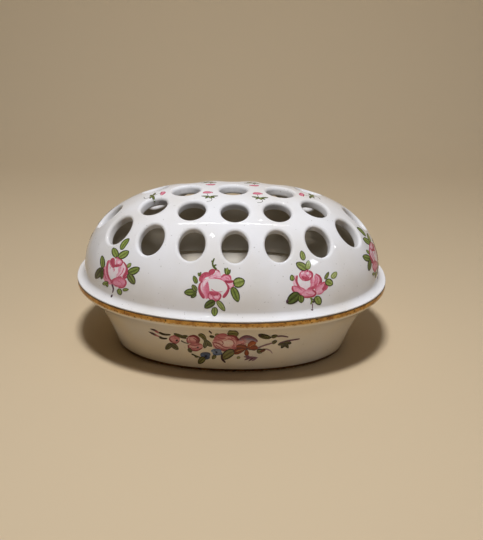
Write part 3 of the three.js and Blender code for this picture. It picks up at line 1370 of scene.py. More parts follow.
@dataclass(frozen=True)
class Stroke:
    """One touch of the brush.

    The path is in the motif's drawing units, with Y down. The tones are the pigment's strengths
    from the left side of the path to its right side, and the rim is the strength of a dark
    outline, if it has one.
    """

    pigment: Pigment
    outline: Outline
    width: float
    tones: tuple[float, ...]
    path: tuple[tuple[float, float], ...]
    rim: float = 0.0

    def spine(self, step: float) -> Array:
        """Run a smooth line through the path's points, with a point at every step."""
        given = np.array(self.path, float)
        padded = np.vstack((2 * given[0] - given[1], given, 2 * given[-1] - given[-2]))
        dense = []
        for a, b, c, d in zip(padded, padded[1:], padded[2:], padded[3:]):
            t = np.linspace(0, 1, CURVE_STEPS, endpoint=False)[:, None]
            squared, cubed = 2 * a - 5 * b + 4 * c - d, 3 * b - a - 3 * c + d
            dense.append(0.5 * (2 * b + (c - a) * t + squared * t**2 + cubed * t**3))
        line = np.vstack((*dense, given[-1:]))
        arcs = run_lengths(line)
        count = max(FEWEST_ROWS, math.ceil(arcs[-1] / step) + 1)
        even = np.linspace(0, 1, count)
        places = arcs[-1] * (even / 2 + (1 - np.cos(np.pi * even)) / 4)
        return np.column_stack([np.interp(places, arcs, line[:, i]) for i in (0, 1)])

    def grid(self, step: float) -> tuple[Array, Array]:
        """Spread the stroke out.

        Args:
            step: The distance between rows, in drawing units.

        Returns:
            The places as rows by columns by two, and the strengths as rows by columns.
        """
        line = self.spine(step)
        ahead = np.gradient(line, axis=0)
        ahead /= np.linalg.norm(ahead, axis=1, keepdims=True)
        left = np.column_stack((ahead[:, 1], -ahead[:, 0]))
        run = run_lengths(line)
        half = self.width / 2 * self.outline.width(run / run[-1])
        columns = max(FEWEST_COLUMNS, 2 * math.ceil(self.width / step) + 1)
        across = np.sin(np.linspace(math.pi / 2, -math.pi / 2, columns))
        places = line[:, None] + (half[:, None] * across)[:, :, None] * left[:, None]
        tones = np.interp((1 - across) / 2, np.linspace(0, 1, len(self.tones)), self.tones)
        tones = np.tile(tones, (len(line), 1))
        if self.rim:
            from_end = np.minimum(run, run[-1] - run)[:, None]
            inward = np.minimum(half[:, None] * (1 - np.abs(across)), from_end)
            rim_width = 0.13 * self.width + 0.3
            fade = 1.5  # the outline is at full strength over its outer third
            edge = np.clip(fade * (1 - inward / rim_width), 0, 1)
            tones = tones + (self.rim - tones) * edge
        return places, tones


def stroke(pigment: Pigment, outline: Outline, width: float, tones: Tones, *path: float) -> Stroke:
    """Make a stroke from a path written as x, y, x, y."""
    strengths = tones if isinstance(tones, tuple) else (tones,) * 2
    return Stroke(pigment, outline, width, strengths, tuple(zip(path[::2], path[1::2])))


def iron_red(outline: Outline, width: float, tones: Tones, *path: float) -> Stroke:
    """Make an iron red touch."""
    return stroke(Pigment.IRON_RED, outline, width, tones, *path)


def cobalt(outline: Outline, width: float, tones: Tones, *path: float) -> Stroke:
    """Make a cobalt blue touch."""
    return stroke(Pigment.COBALT, outline, width, tones, *path)


def manganese(outline: Outline, width: float, tones: Tones, *path: float) -> Stroke:
    """Make a dark plum touch."""
    return stroke(Pigment.MANGANESE, outline, width, tones, *path)


def petal(width: float, tones: Tones, *path: float) -> Stroke:
    """Make a broad carmine touch."""
    return stroke(Pigment.CARMINE, Outline.PETAL, width, tones, *path)


def line(width: float, tone: float, *path: float) -> Stroke:
    """Make a carmine line."""
    side = 0.85 * tone
    return stroke(Pigment.CARMINE, Outline.LINE, width, (side, tone, side), *path)


def swell(width: float, tones: Tones, *path: float) -> Stroke:
    """Make a carmine line that grows thicker."""
    return stroke(Pigment.CARMINE, Outline.SWELL, width, tones, *path)


def leaf(width: float, depth: float, *path: float, plum: bool = False) -> Stroke:
    """Make a leaf with a dark outline and vein.

    Args:
        width: Its width.
        depth: How strong its colour is, about 1.
        path: Its middle line from base to tip.
        plum: Whether its outline is purplish.

    Returns:
        The leaf's stroke.
    """
    shares = (0.66, 0.6, 0.53, 0.46, 0.5, 0.74, 0.6, 0.52, 0.48, 0.56, 0.64)
    tones = tuple(min(0.95, depth * t) for t in shares)
    rim = min(1.0, 0.95 * depth + 0.1)
    pigment = Pigment.SHADED_GREEN if plum else Pigment.GREEN
    return replace(stroke(pigment, Outline.LEAF, width, tones, *path), rim=rim)


def stalk(width: float, tone: float, *path: float, plum: bool = False) -> Stroke:
    """Make a thin stalk."""
    pigment = Pigment.SHADED_GREEN if plum else Pigment.GREEN
    return stroke(pigment, Outline.LINE, width, tone, *path)


@dataclass(frozen=True)
class Motif:
    """A painted motif.

    Its strokes are drawn in pixels of the picture, about a centre pixel, or in millimetres of
    the flat surface about zero.
    """

    name: str
    strokes: tuple[Stroke, ...]
    centre: tuple[float, float] | None = None

    @classmethod
    def of(
        cls,
        name: str,
        centre: tuple[float, float] | None,
        *strokes: Stroke,
        colours: dict[Pigment, Pigment] | None = None,
    ) -> "Motif":
        """Gather a motif's strokes.

        Args:
            name: The motif's name.
            centre: Its centre in the picture, or None for one that is drawn flat.
            strokes: Its strokes in painting order.
            colours: Pigments that are changed for others.

        Returns:
            The motif.
        """
        changes = colours or {}
        painted = tuple(replace(s, pigment=changes.get(s.pigment, s.pigment)) for s in strokes)
        return cls(name, painted, centre)


@dataclass(frozen=True)
class Spot:
    """A place on a shell with directions for a motif: right, up and outwards."""

    point: Array
    right: Array
    up: Array
    out: Array

    @classmethod
    def on(cls, shell: Shell, point: Array, up: tuple[float, float, float] = (0, 0, 1)) -> "Spot":
        """Stand a spot on a shell.

        Args:
            shell: The surface.
            point: A point of it.
            up: The direction that the motif's top leans to.

        Returns:
            The spot, flat on the surface.
        """
        out = shell.normals(point[None])[0]
        rising = np.array(up, float) - np.dot(up, out) * out
        rising /= np.linalg.norm(rising)
        return cls(point, np.cross(rising, out), rising, out)

    def opposite(self) -> "Spot":
        """Give the spot half a turn round the jardiniere."""
        half_turn = np.array([-1.0, -1.0, 1.0])
        return Spot(*(half_turn * v for v in (self.point, self.right, self.up, self.out)))

    def mirrored(self) -> "Spot":
        """Give the spot with its left and right exchanged."""
        return Spot(self.point, -self.right, self.up, self.out)

    def flatten(self, points: Array) -> Array:
        """Give the places of points in the spot's own plane: right and up."""
        return (points - self.point) @ np.column_stack((self.right, self.up))

    def lay(self, shell: Shell, flat: Array, reach: float) -> Array:
        """Lay flat places on a shell that is within reach of them."""
        plane = self.point + flat[:, :1] * self.right + flat[:, 1:] * self.up
        return shell.onto(plane, self.out, reach)


OPEN_ROSE = Motif.of(
    "open_rose",
    (216, 286),
    petal(9.5, (0.62, 0.6, 0.5, 0.3, 0.08), 204.6, 279, 204.4, 288, 206.4, 299),
    petal(3, (0.24, 0.2, 0.3), 203.2, 286.6, 205.4, 281.6, 209.4, 279.2),
    petal(5.4, (0.82, 0.76, 0.62), 199.8, 281.6, 202.4, 277, 206, 274.6, 211, 275),
    line(1.2, 0.88, 201.4, 278.6, 203.6, 275.4, 206.6, 273.4),
    petal(4.4, (0.45, 0.34, 0.3, 0.45), 208.6, 278.2, 214, 276.8, 220, 277.4, 225, 280.6),
    swell(4.4, (0.72, 0.9, 0.86), 202.4, 280.6, 199.6, 285.4, 200, 291.4, 204.4, 298.6),
    petal(5.6, (0.9, 0.84, 0.78), 209.4, 274.4, 212.2, 271.6, 215.2, 271.4),
    petal(6.4, (0.36, 0.26, 0.3, 0.42), 215.4, 272.4, 219.8, 276),
    line(1.6, 0.88, 211, 271.6, 214.6, 270, 218, 270.4, 219.8, 272.4),
    line(1.5, 0.66, 213.4, 277.6, 217.4, 278.4, 221.6, 279.2, 225.4, 282.4),
    petal(7.6, (0.55, 0.4, 0.38, 0.5), 221.6, 278.6, 226.4, 277.4, 231, 279.6),
    line(1.8, 0.84, 221, 277.4, 224.2, 275.2, 228, 275, 230.6, 278, 231, 281),
    line(1.2, 0.66, 225.6, 277.6, 228.2, 278.6, 229.6, 280.6),
    petal(6, (0.34, 0.3, 0.42), 227, 284.6, 232.8, 285.8),
    line(1.5, 0.66, 233.2, 281.6, 233.6, 285.4, 231.6, 288.8, 229.2, 288.4),
    petal(2.8, (0.86, 0.92, 0.82), 224.4, 280.8, 228.6, 282, 234.2, 281),
    swell(4.2, (0.84, 0.88, 0.66), 225.4, 282, 228.4, 287.4, 227, 292.4, 222.8, 297.8),
    petal(10.4, (0.62, 0.5, 0.42, 0.46, 0.6), 208.6, 296.4, 220.6, 296.6),
    petal(4.4, (0.66, 0.82, 0.86), 209.4, 291.6, 213.4, 293.6, 219, 293.8),
    petal(2.6, (0.4, 0.3, 0.4), 209.8, 297.4, 212.6, 298),
    petal(3, (0.36, 0.28, 0.4), 214.2, 296.6, 218.4, 297.6),
    line(0.9, 0.62, 211, 288.8, 214.6, 291.2, 218.6, 292, 222.6, 291.4),
    line(1.4, 0.82, 209, 292.6, 208.2, 296.8, 210.4, 300),
    line(1.2, 0.8, 212.8, 294.6, 213.4, 298.2, 216.8, 300),
    line(1.8, 0.88, 219.4, 293, 220.8, 296.6, 217.6, 300.6, 213, 300.6),
    leaf(10.4, 0.95, 233.2, 283.6, 239, 282.4, 244.8, 280.4),
    leaf(8.0, 1.15, 232, 287, 235.2, 293.6, 238.2, 302),
    leaf(7.6, 1.45, 215.2, 301.4, 210, 303.8, 204.4, 307.8),
    leaf(5.6, 0.9, 216.8, 300.6, 220.8, 305.2, 225, 311, plum=True),
    leaf(6.8, 1.05, 214.8, 307, 214.4, 316.4),
    leaf(7.6, 1.2, 197, 292.2, 184, 292.4),
    leaf(5.2, 1.15, 196.6, 291.4, 192.2, 284.6, plum=True),
    leaf(4.0, 1.5, 196.4, 293.6, 190.8, 297.6),
    leaf(4.6, 1.1, 196.8, 283.6, 193.6, 275.6),
    leaf(2.6, 1.0, 199.8, 276.4, 198.2, 272.6),
    leaf(2.0, 1.1, 199.6, 276, 201, 271.8, plum=True),
    leaf(3.0, 1.15, 226.8, 275, 224.8, 267.8),
    leaf(3.6, 0.85, 227, 274.8, 227.4, 267.6),
    leaf(3.0, 1.2, 227.6, 274.8, 230.4, 269.4),
    stalk(2.2, 0.8, 216.8, 269.4, 213.6, 266.6, 212.7, 263, 214.4, 258),
    leaf(1.8, 1.1, 213.2, 263.4, 211.6, 260.4),
    leaf(1.6, 1.1, 213.6, 266, 216.6, 264.6),
)

CUPPED_ROSE = Motif.of(
    "cupped_rose",
    (309, 285),
    petal(4.4, (0.1, 0.3, 0.24), 295, 275.2, 294.8, 286),
    petal(7, (0.12, 0.3, 0.5, 0.62), 312, 277, 313.6, 283, 309.6, 289.8),
    petal(10.4, (0.06, 0.05, 0.1, 0.2), 299.6, 284.4, 310.6, 284.4),
    petal(5, (0.34, 0.46, 0.6), 315.2, 274.6, 317.2, 280, 314.6, 286.4),
    swell(5.2, (0.7, 0.78, 0.66), 317.4, 282.6, 314, 287.2, 307.6, 290.2),
    line(2.6, 0.86, 297.2, 275.2, 296.4, 281, 298.6, 286, 302.6, 289.8, 308.4, 290.8),
    swell(3.8, (0.86, 0.86, 0.66), 315.6, 273.8, 319.4, 276.4, 320.8, 281, 318.6, 286.4),
    line(1.1, 0.62, 316.6, 276.4, 317.8, 280, 316.4, 284.6),
    petal(10.4, (0.56, 0.46, 0.42, 0.5), 299.2, 275.2, 312.6, 275.2),
    petal(3.4, (0.28, 0.24, 0.36), 300.8, 273.6, 304.4, 272.4),
    petal(2.8, (0.24, 0.2, 0.34), 306.4, 272.6, 308.6, 274.2),
    petal(3.6, (0.72, 0.84, 0.8), 301.6, 276.4, 305, 278.2, 309, 277.6),
    line(2.2, 0.84, 308.8, 270.6, 312, 273.4, 312, 276.8, 309, 279.6, 304, 280.8),
    line(1.4, 0.72, 301.4, 271.4, 299.6, 274.6, 300.4, 277.8, 303.8, 281),
    petal(1.4, 0.22, 309.6, 276.8, 311, 275.6),
    line(1.1, 0.66, 301.6, 272.2, 304.6, 270.6, 307, 271.4),
    line(1.7, 0.95, 307.8, 269, 307.2, 272),
    line(1.0, 0.78, 305.4, 274.6, 307.4, 276.4, 306.8, 279.4),
    petal(7.8, (0.78, 0.48, 0.4, 0.48, 0.72), 291.8, 287, 298, 290.4, 305.4, 291.4),
    line(1.9, 0.88, 292.6, 286, 292.6, 289.4, 295.6, 293, 301.4, 294.6),
    line(1.1, 0.7, 294.4, 286, 298.4, 287.6, 302, 290.4),
    petal(7.2, (0.6, 0.42, 0.36, 0.42, 0.6), 302, 295, 308.6, 292.8, 315.6, 293),
    petal(8.8, (0.66, 0.42, 0.32, 0.4), 315.6, 292.2, 321, 288, 326.8, 284.4),
    petal(4.4, (0.84, 0.8, 0.6), 322.4, 290.4, 325.8, 286.8, 326, 282.6),
    line(1.4, 0.8, 320.4, 284.6, 323.8, 282.2, 326.6, 282.8),
    line(1.3, 0.6, 323.8, 290.8, 320.6, 293.6, 316.6, 294.2),
    line(2.0, 0.9, 312.2, 289.8, 315.8, 293, 313.2, 296.2, 308, 297.2, 303.8, 297),
    line(1.7, 0.88, 299, 294.2, 305.4, 297.8),
    line(1.0, 0.6, 305.6, 292.8, 309.4, 294.6, 312.6, 294),
    leaf(5.6, 0.9, 303.8, 260.4, 301.2, 250.6, plum=True),
    leaf(7.8, 1.0, 306.8, 269.6, 302, 266.4, 296, 262.8, plum=True),
    leaf(5.4, 0.75, 307.6, 269.6, 308.6, 260.2),
    leaf(4.8, 0.95, 292.6, 281, 291.6, 274.6),
    leaf(3.4, 1.0, 324.8, 279.4, 328.8, 271.8, plum=True),
    leaf(7.6, 0.95, 325.4, 280.4, 332.8, 284.6),
    leaf(5.2, 0.66, 331.6, 278.4, 336.6, 271.8),
    leaf(10.2, 1.5, 299.4, 293.2, 294, 297.6, 287.4, 303.4),
    leaf(6.4, 1.2, 300.8, 295, 301.2, 303),
    leaf(7.6, 0.95, 316, 296, 320, 304.8),
    manganese(Outline.ALMOND, 2.4, 0.95, 287.8, 299, 286.6, 303.4),
    stalk(2.0, 0.6, 310.4, 297, 311.8, 300.6, 310.6, 304.4),
    stalk(1.1, 0.95, 310.8, 298.6, 313.8, 299.6, 312, 302.6, plum=True),
    stalk(1.1, 0.95, 315.6, 300.8, 312.6, 302.6, plum=True),
    manganese(Outline.LINE, 1.0, 0.7, 312.4, 303.6, 312.4, 308.8),
    manganese(Outline.ALMOND, 1.6, 0.9, 310.9, 309.8, 313.2, 309.8),
)

SIDE_ROSE = Motif.of(
    "side_rose",
    (115, 271),
    petal(5.4, (0.5, 0.42, 0.55), 104.8, 265.8, 104.8, 273, 107.2, 280, 112.4, 284),
    petal(8, (0.2, 0.26, 0.42), 121.4, 263, 122, 270, 117, 277.6),
    petal(10.4, (0.1, 0.06, 0.16), 112.8, 264.6, 112.8, 277.4),
    swell(5.2, (0.72, 0.82, 0.72), 121.6, 276.8, 116.6, 278.8, 110.8, 283),
    line(2.4, 0.8, 108.6, 260.2, 107.2, 266, 107.4, 273, 109.4, 278.6, 112.6, 282),
    line(1.3, 0.74, 104.2, 268.4, 104.6, 274.4, 106.6, 279.6),
    petal(9.6, (0.72, 0.52, 0.42, 0.48, 0.66), 112.8, 283.2, 119, 282.2, 126, 282.2),
    swell(4.0, (0.84, 0.86, 0.66), 123.4, 261.8, 126.6, 267, 126.2, 272.4, 122.8, 278),
    line(1.2, 0.62, 124, 267.6, 121.8, 273, 117.4, 277.6),
    line(0.9, 0.5, 121, 266.4, 119.4, 271.6, 116, 275.6),
    line(2.2, 0.84, 129, 272, 127, 276.6, 123.8, 279),
    line(1.8, 0.84, 125, 279.4, 126, 283.4, 123.4, 287.2, 118.2, 287.6),
    line(1.3, 0.72, 118.6, 286.2, 114.4, 285, 112.4, 283),
    line(1.1, 0.62, 117, 280.6, 120.8, 282.4, 122.6, 285.4),
    petal(5, (0.72, 0.86, 0.8), 113.6, 257.8, 112.4, 262.4, 114, 268),
    petal(6.4, (0.5, 0.36, 0.4, 0.6), 115.4, 262, 122.2, 262),
    petal(3.4, 0.26, 118.2, 261.4, 120.2, 263),
    petal(2.8, (0.8, 0.88, 0.8), 113.4, 265.6, 116.6, 265.8, 119.6, 265),
    line(1.7, 0.84, 114.8, 257.8, 119, 258.2, 122.4, 261.2, 121.2, 265, 116.8, 266.8),
    line(1.3, 0.6, 109.2, 259.8, 110.4, 264, 112.4, 267),
    line(0.9, 0.6, 113.2, 267.4, 113.4, 270.2),
    line(0.9, 0.6, 114.9, 268.4, 113.8, 271.8),
    line(0.7, 0.5, 110.2, 266.8, 110.7, 268.8),
    leaf(5.6, 1.05, 120.8, 249.8, 124.2, 243.8, 129.4, 238.4),
    leaf(6.8, 1.0, 117, 257.4, 113.2, 247.6),
    leaf(7.2, 1.0, 118.6, 257.8, 123.8, 254.4, 129, 251),
    leaf(5.0, 1.05, 103, 268.2, 102.2, 255.4),
    leaf(7.0, 1.5, 103.2, 267.8, 99.4, 272.4, 95.8, 278.8, plum=True),
    leaf(3.6, 1.5, 102.4, 270.6, 101.6, 279.4),
    leaf(7.6, 1.15, 128, 272.8, 133.8, 270.8, 139.8, 267.8),
    leaf(7.0, 1.2, 128, 273.8, 131.2, 278.4, 134.6, 284.4, plum=True),
    leaf(3.6, 0.8, 127.2, 267.6, 131.2, 263),
    leaf(4.4, 0.95, 108.6, 282.6, 102.4, 284),
    leaf(2.8, 1.0, 106.8, 283, 107.6, 287),
    leaf(5.0, 0.95, 118.4, 288.6, 121, 295),
    leaf(3.2, 0.9, 122.6, 289.8, 128.8, 289.4),
    manganese(Outline.LINE, 1.7, 0.85, 112, 284, 113.4, 288.6, 112.6, 293),
    manganese(Outline.ALMOND, 1.8, 0.95, 112.4, 294.4, 111, 297.6),
)

BOWL_COLOURS = {
    Pigment.CARMINE: Pigment.DUSTY_ROSE,
    Pigment.GREEN: Pigment.OLIVE,
    Pigment.SHADED_GREEN: Pigment.OLIVE,
}

SPRAY = Motif.of(
    "spray",
    (225, 345),
    manganese(Outline.ALMOND, 1.9, (0.85, 1.0, 0.85), 149.6, 328.6, 154.6, 330.2, 159.4, 332.6),
    petal(1.6, (0.7, 0.5, 0.7), 154.8, 331, 159, 333),
    stalk(2.4, 1.0, 158.6, 332.2, 164, 334.4, 170.8, 334.8),
    manganese(Outline.ALMOND, 2.1, (0.85, 1.0, 0.85), 148.2, 331.6, 153.6, 334, 159.4, 337),
    petal(1.4, (0.7, 0.5, 0.7), 154.4, 334.6, 159.6, 336.8),
    stalk(2.4, 1.0, 159, 336.8, 163, 338.4, 167.4, 338.6),
    petal(7.6, (0.6, 0.42, 0.36, 0.44, 0.62), 169.4, 338.6, 179.8, 340.2),
    swell(2.2, (0.86, 0.8, 0.66), 170.2, 336.4, 169.6, 339.6, 172.6, 342.6),
    line(1.3, 0.78, 172.4, 342.6, 176.6, 343.2, 179.8, 340.4),
    line(1.2, 0.66, 172.6, 335.6, 177, 336.2, 180, 339),
    line(1.0, 0.6, 173.4, 338, 176.6, 338.4, 178, 340),
    manganese(Outline.PETAL, 2.0, 1.0, 175.6, 340.6, 178, 340.4),
    leaf(3.2, 1.4, 173.6, 333.6, 180, 336, 186.6, 338.6),
    leaf(2.8, 1.3, 182, 336.4, 188, 336.2),
    stalk(1.2, 0.95, 180.8, 340.4, 184.6, 342.6, 189.4, 343.4, plum=True),
    petal(8.6, (0.6, 0.36, 0.28, 0.5, 0.74), 187.2, 339.4, 193, 339.4, 199, 340.4),
    swell(3.8, (0.9, 0.86, 0.7), 188.6, 336.6, 194, 335.8, 198.6, 339.2, 197.4, 343.6),
    swell(2.2, (0.86, 0.8, 0.7), 193.4, 338.2, 196.6, 340.2, 196, 343.2),
    line(1.5, 0.74, 187.8, 337.4, 187, 341, 189.4, 343.6),
    line(1.0, 0.66, 189.6, 338, 190.2, 341, 192.6, 342.8),
    petal(7.6, (0.66, 0.42, 0.34, 0.42, 0.7), 187.6, 346.6, 195, 346.8, 203, 346.4),
    line(1.7, 0.82, 187.8, 344.6, 190, 349, 196.6, 350.6, 202.6, 347.6),
    line(1.2, 0.74, 189.6, 344.2, 195, 345.4, 201.4, 343.8),
    line(1.0, 0.66, 190.6, 347.4, 194, 348.6, 198.6, 347.6),
    manganese(Outline.PETAL, 1.7, 0.95, 196.6, 347.4, 199, 347.4),
    leaf(4.0, 1.4, 188.2, 348, 191.8, 352.4),
    leaf(5.2, 1.35, 171.8, 343.4, 165.4, 349.2),
    leaf(5.0, 1.35, 171, 343.6, 178.6, 349.4),
    leaf(4.4, 1.15, 198.2, 334.6, 202.6, 336, 206.4, 341.2),
    leaf(4.6, 1.25, 204, 340.2, 212.2, 346.4),
    leaf(4.6, 1.3, 206.4, 340.8, 204.2, 348.2),
    manganese(Outline.LINE, 1.6, 1.0, 208.8, 330.6, 211.8, 333.6),
    leaf(2.6, 1.5, 209.4, 335.8, 214.6, 337.2, plum=True),
    leaf(2.6, 0.8, 214.8, 334.6, 221, 335.2),
    leaf(7.6, 1.1, 227.4, 333.4, 238.8, 333.6),
    petal(15, (0.5, 0.38, 0.3, 0.28, 0.36, 0.5), 212.4, 342.8, 226, 343.2, 239.8, 342.4),
    petal(7.4, (0.26, 0.17, 0.15, 0.24), 221.4, 342.4, 233.6, 342.2),
    petal(6.4, (0.6, 0.46, 0.4), 214.4, 341.4, 219.4, 337.2, 228, 336),
    petal(3.8, (0.34, 0.3, 0.44), 223.6, 339.8, 228.6, 337.6, 234.6, 338),
    swell(3.6, (0.86, 0.8, 0.6), 227.4, 335.4, 234.6, 336.4, 239, 341.6),
    petal(4.6, (0.6, 0.66, 0.5), 238.6, 340.4, 237, 345.6, 231.6, 350),
    swell(2.4, (0.7, 0.8, 0.7), 212.6, 341.8, 215.6, 346.8, 222.8, 350, 232, 350.6),
    line(1.5, 0.74, 213.4, 342.2, 219, 343.4, 224, 346.8, 231.2, 348),
    line(1.2, 0.7, 215.6, 344.6, 221, 348, 228, 349.4),
    line(1.3, 0.62, 214.8, 339.4, 219.4, 339.6, 223.6, 342),
    line(1.3, 0.66, 217.6, 337, 222, 338.4, 226, 338.2),
    line(1.1, 0.7, 221.8, 341.4, 223.4, 343.2, 221.6, 344.8),
    line(1.4, 0.64, 227.6, 338.4, 232.4, 340, 234.2, 344, 231.4, 347.4),
    line(1.2, 0.6, 230.6, 337.2, 235.4, 339.6, 236.8, 343.4),
    petal(5.4, (0.46, 0.36, 0.56), 235, 346.6, 240.6, 342.6, 247, 341.2),
    line(1.1, 0.7, 237, 346.8, 241.6, 343.4, 246, 342.4),
    line(1.0, 0.62, 238.6, 348.4, 243, 345.4, 246.6, 344.6),
    manganese(Outline.PETAL, 5.0, (0.86, 0.66, 0.4), 238.8, 339.8, 247.4, 337.6, 257.8, 341.4),
    manganese(Outline.PETAL, 2.8, (0.42, 0.34, 0.42), 244, 342.4, 250, 341.4, 256.4, 342),
    cobalt(Outline.LINE, 0.9, 0.6, 246, 338.8, 251, 338.6, 256, 340.6),
    line(1.0, 0.6, 241.6, 338.4, 244.6, 340.8, 245.6, 343),
    iron_red(Outline.PETAL, 4.6, (0.9, 0.66, 0.8, 0.95), 248, 348.4, 241.6, 346.4, 236, 346),
    iron_red(Outline.DROP, 6.0, (0.95, 0.7, 0.8, 0.95), 247, 348.6, 239.4, 350.4, 232, 353.4),
    iron_red(Outline.DROP, 6.4, (0.9, 0.66, 0.76, 0.95), 247, 348, 250.6, 344.4, 256.4, 342.2),
    iron_red(Outline.DROP, 5.6, (0.9, 0.7, 0.95), 247.4, 348.4, 252.6, 347.6, 258.4, 347.8),
    iron_red(Outline.DROP, 5.0, (0.9, 0.66, 0.92), 246.8, 348.8, 246.6, 352.4, 246.8, 355.8),
    iron_red(Outline.LINE, 1.2, 1.0, 236.4, 348, 242, 347.6, 247.4, 349),
    iron_red(Outline.LINE, 1.2, 1.0, 248, 348.4, 251.6, 345.6, 255.8, 343.8),
    iron_red(Outline.LINE, 1.1, 0.5, 249.4, 346.6, 252.4, 344.6, 255, 343.4),
    iron_red(Outline.LINE, 1.1, 1.0, 248, 349.2, 252.4, 349.2, 257, 348.6),
    iron_red(Outline.LINE, 1.1, 1.0, 234.8, 352.6, 240, 350.8, 246, 349.6),
    iron_red(Outline.LINE, 1.0, 0.45, 236.4, 351, 240.4, 349.8, 243.6, 349.4),
    manganese(Outline.PETAL, 1.8, 1.0, 245.8, 348.4, 248, 348.8),
    cobalt(Outline.PETAL, 4.8, (0.9, 0.76, 0.72), 200.2, 354.6, 210.6, 354.4),
    cobalt(Outline.PETAL, 4.2, (0.72, 0.8, 0.95), 201.4, 357.4, 210, 357),
    cobalt(Outline.PETAL, 2.6, 1.0, 204.6, 356.2, 207.4, 355.8),
    cobalt(Outline.PETAL, 4.0, (0.72, 0.62, 0.6), 211, 350.8, 221.6, 350.6),
    cobalt(Outline.PETAL, 3.8, (0.6, 0.66, 0.8), 212.6, 353.2, 222.4, 353),
    cobalt(Outline.LINE, 0.9, 0.85, 214, 349.6, 216.4, 352, 215.6, 354.8),
    cobalt(Outline.PETAL, 2.0, 1.0, 215.4, 352, 217.6, 351.8),
    leaf(6.0, 1.15, 205, 356.8, 198.2, 363.2),
    stalk(1.1, 0.9, 191.4, 353.6, 196.6, 356, 201, 357.4, plum=True),
    leaf(1.9, 1.1, 194.6, 356, 198.4, 356.8),
    leaf(3.6, 0.95, 216, 355, 212, 358.6),
    leaf(8.4, 1.05, 234.6, 350.8, 228.6, 353.4, 221.6, 358.8),
    manganese(Outline.LINE, 2.2, 1.0, 222, 353.8, 222, 358.6, 225.6, 362.4),
    leaf(2.2, 0.6, 236.6, 357.6, 240.4, 357.2),
    leaf(4.4, 1.45, 258.2, 334.8, 264, 336.2, 271.2, 337.4),
    manganese(Outline.PETAL, 2.0, 1.0, 258.2, 335, 261.4, 335.2),
    leaf(3.2, 1.3, 271.2, 337, 277.6, 335.2),
    manganese(Outline.LINE, 1.2, 0.85, 276.6, 336.2, 282, 335.8, 288.4, 336.8),
    manganese(Outline.LINE, 1.1, 0.66, 257.6, 348, 264, 345.4, 273.4, 342.4),
    leaf(3.0, 1.25, 271.8, 343, 277, 340.6),
    manganese(Outline.LINE, 1.3, 0.8, 279.6, 343, 287, 340.8, 299.8, 338.6),
    leaf(3.0, 1.6, 286.6, 342.6, 277.8, 344.6, plum=True),
    leaf(3.0, 1.6, 286, 343, 280.8, 347.8, plum=True),
    leaf(3.6, 1.6, 284.6, 342.6, 288.4, 347.8, plum=True),
    leaf(3.4, 1.6, 283.6, 342, 291.4, 342.8, plum=True),
    leaf(4.6, 1.25, 256.6, 351.4, 263.2, 350.2),
    iron_red(Outline.ALMOND, 2.8, 1.0, 259.8, 351.4, 266, 349),
    manganese(Outline.LINE, 0.9, 0.5, 265.6, 349, 269.6, 350.2, 272.4, 353.2),
    manganese(Outline.ALMOND, 2.2, (0.6, 0.75, 0.6), 257.8, 357.4, 250.6, 357.4, 243.8, 356.4),
    manganese(Outline.ALMOND, 1.5, 0.8, 254.2, 356.8, 248.4, 360.8),
    manganese(Outline.ALMOND, 1.5, 0.75, 251.6, 356.6, 244.4, 359.8),
    manganese(Outline.ALMOND, 1.4, 0.6, 256.6, 358, 251.6, 360.6),
    manganese(Outline.ALMOND, 1.2, 0.7, 249.4, 356, 245, 354.8),
    colours=BOWL_COLOURS,
)

TOP_BUD = Motif.of(
    "top_bud",
    None,
    stalk(0.45, 0.95, -1.6, 6.2, 0.8, 5.6, 1.7, 4, 1.2, 2),
    stalk(0.4, 0.9, -0.4, 0.2, -1.2, -2.6, -1.6, -4.4),
    petal(3.4, (0.8, 0.55, 0.5, 0.75), -4.2, -5.8, -1.6, -6.2, 1.2, -5.6),
    line(0.8, 0.95, -4.4, -5.4, -2.6, -4.8, 0.2, -4.6),
    line(0.7, 0.9, -0.6, -7, 1.6, -6.4, 1.4, -4.8),
    leaf(1.7, 1.15, -0.4, -0.2, -5, -0.8),
    leaf(1.7, 1.15, 0.8, -0.2, 5.4, -0.7),
    leaf(2.1, 0.95, 0, -0.4, 1.2, 2.6),
    leaf(1.5, 1.1, -0.6, 0.4, -2.6, 2.4),
    leaf(1.4, 1.1, 1.2, 0.6, 3.4, 2),
)

END_SPRIG = Motif.of(
    "end_sprig",
    None,
    manganese(Outline.LINE, 0.7, 0.9, -9, 3, -5, 1.4, 0, 1, 5, 2.4),
    petal(4.2, (0.75, 0.5, 0.7), -2.6, 0.4, 2.8, -0.6),
    line(0.9, 0.9, -2.6, 0.6, -1, -1.8, 2.6, -1.8),
    leaf(2.4, 1.0, 3, 0.6, 8.4, -2.2),
    leaf(2.2, 1.0, 3, 1, 8, 3.4),
    leaf(2.2, 1.05, -3.4, 1, -8, -2),
    cobalt(Outline.PETAL, 2.6, (0.6, 0.5, 0.6), -1.6, 3.6, 1.6, 3.8),
    cobalt(Outline.PETAL, 0.9, 1.0, -0.4, 3.7, 0.5, 3.7),
)


END_ROSE_AT = (374.8, 254.5)  # pixel of the rose that the picture shows nearly edge on
TOP_BUDS = ((-50, -3), (-14.5, -12.4), (16.4, -12.6), (49, 1.5), (-15.7, 14.6), (12, 14.4))
SIDES = ("front", "back")
ENDS = ("right", "left")
NEAR_SPRIG = (90.0, 0.0, 24.0)  # a point near the bowl's right end, as high as the sprig


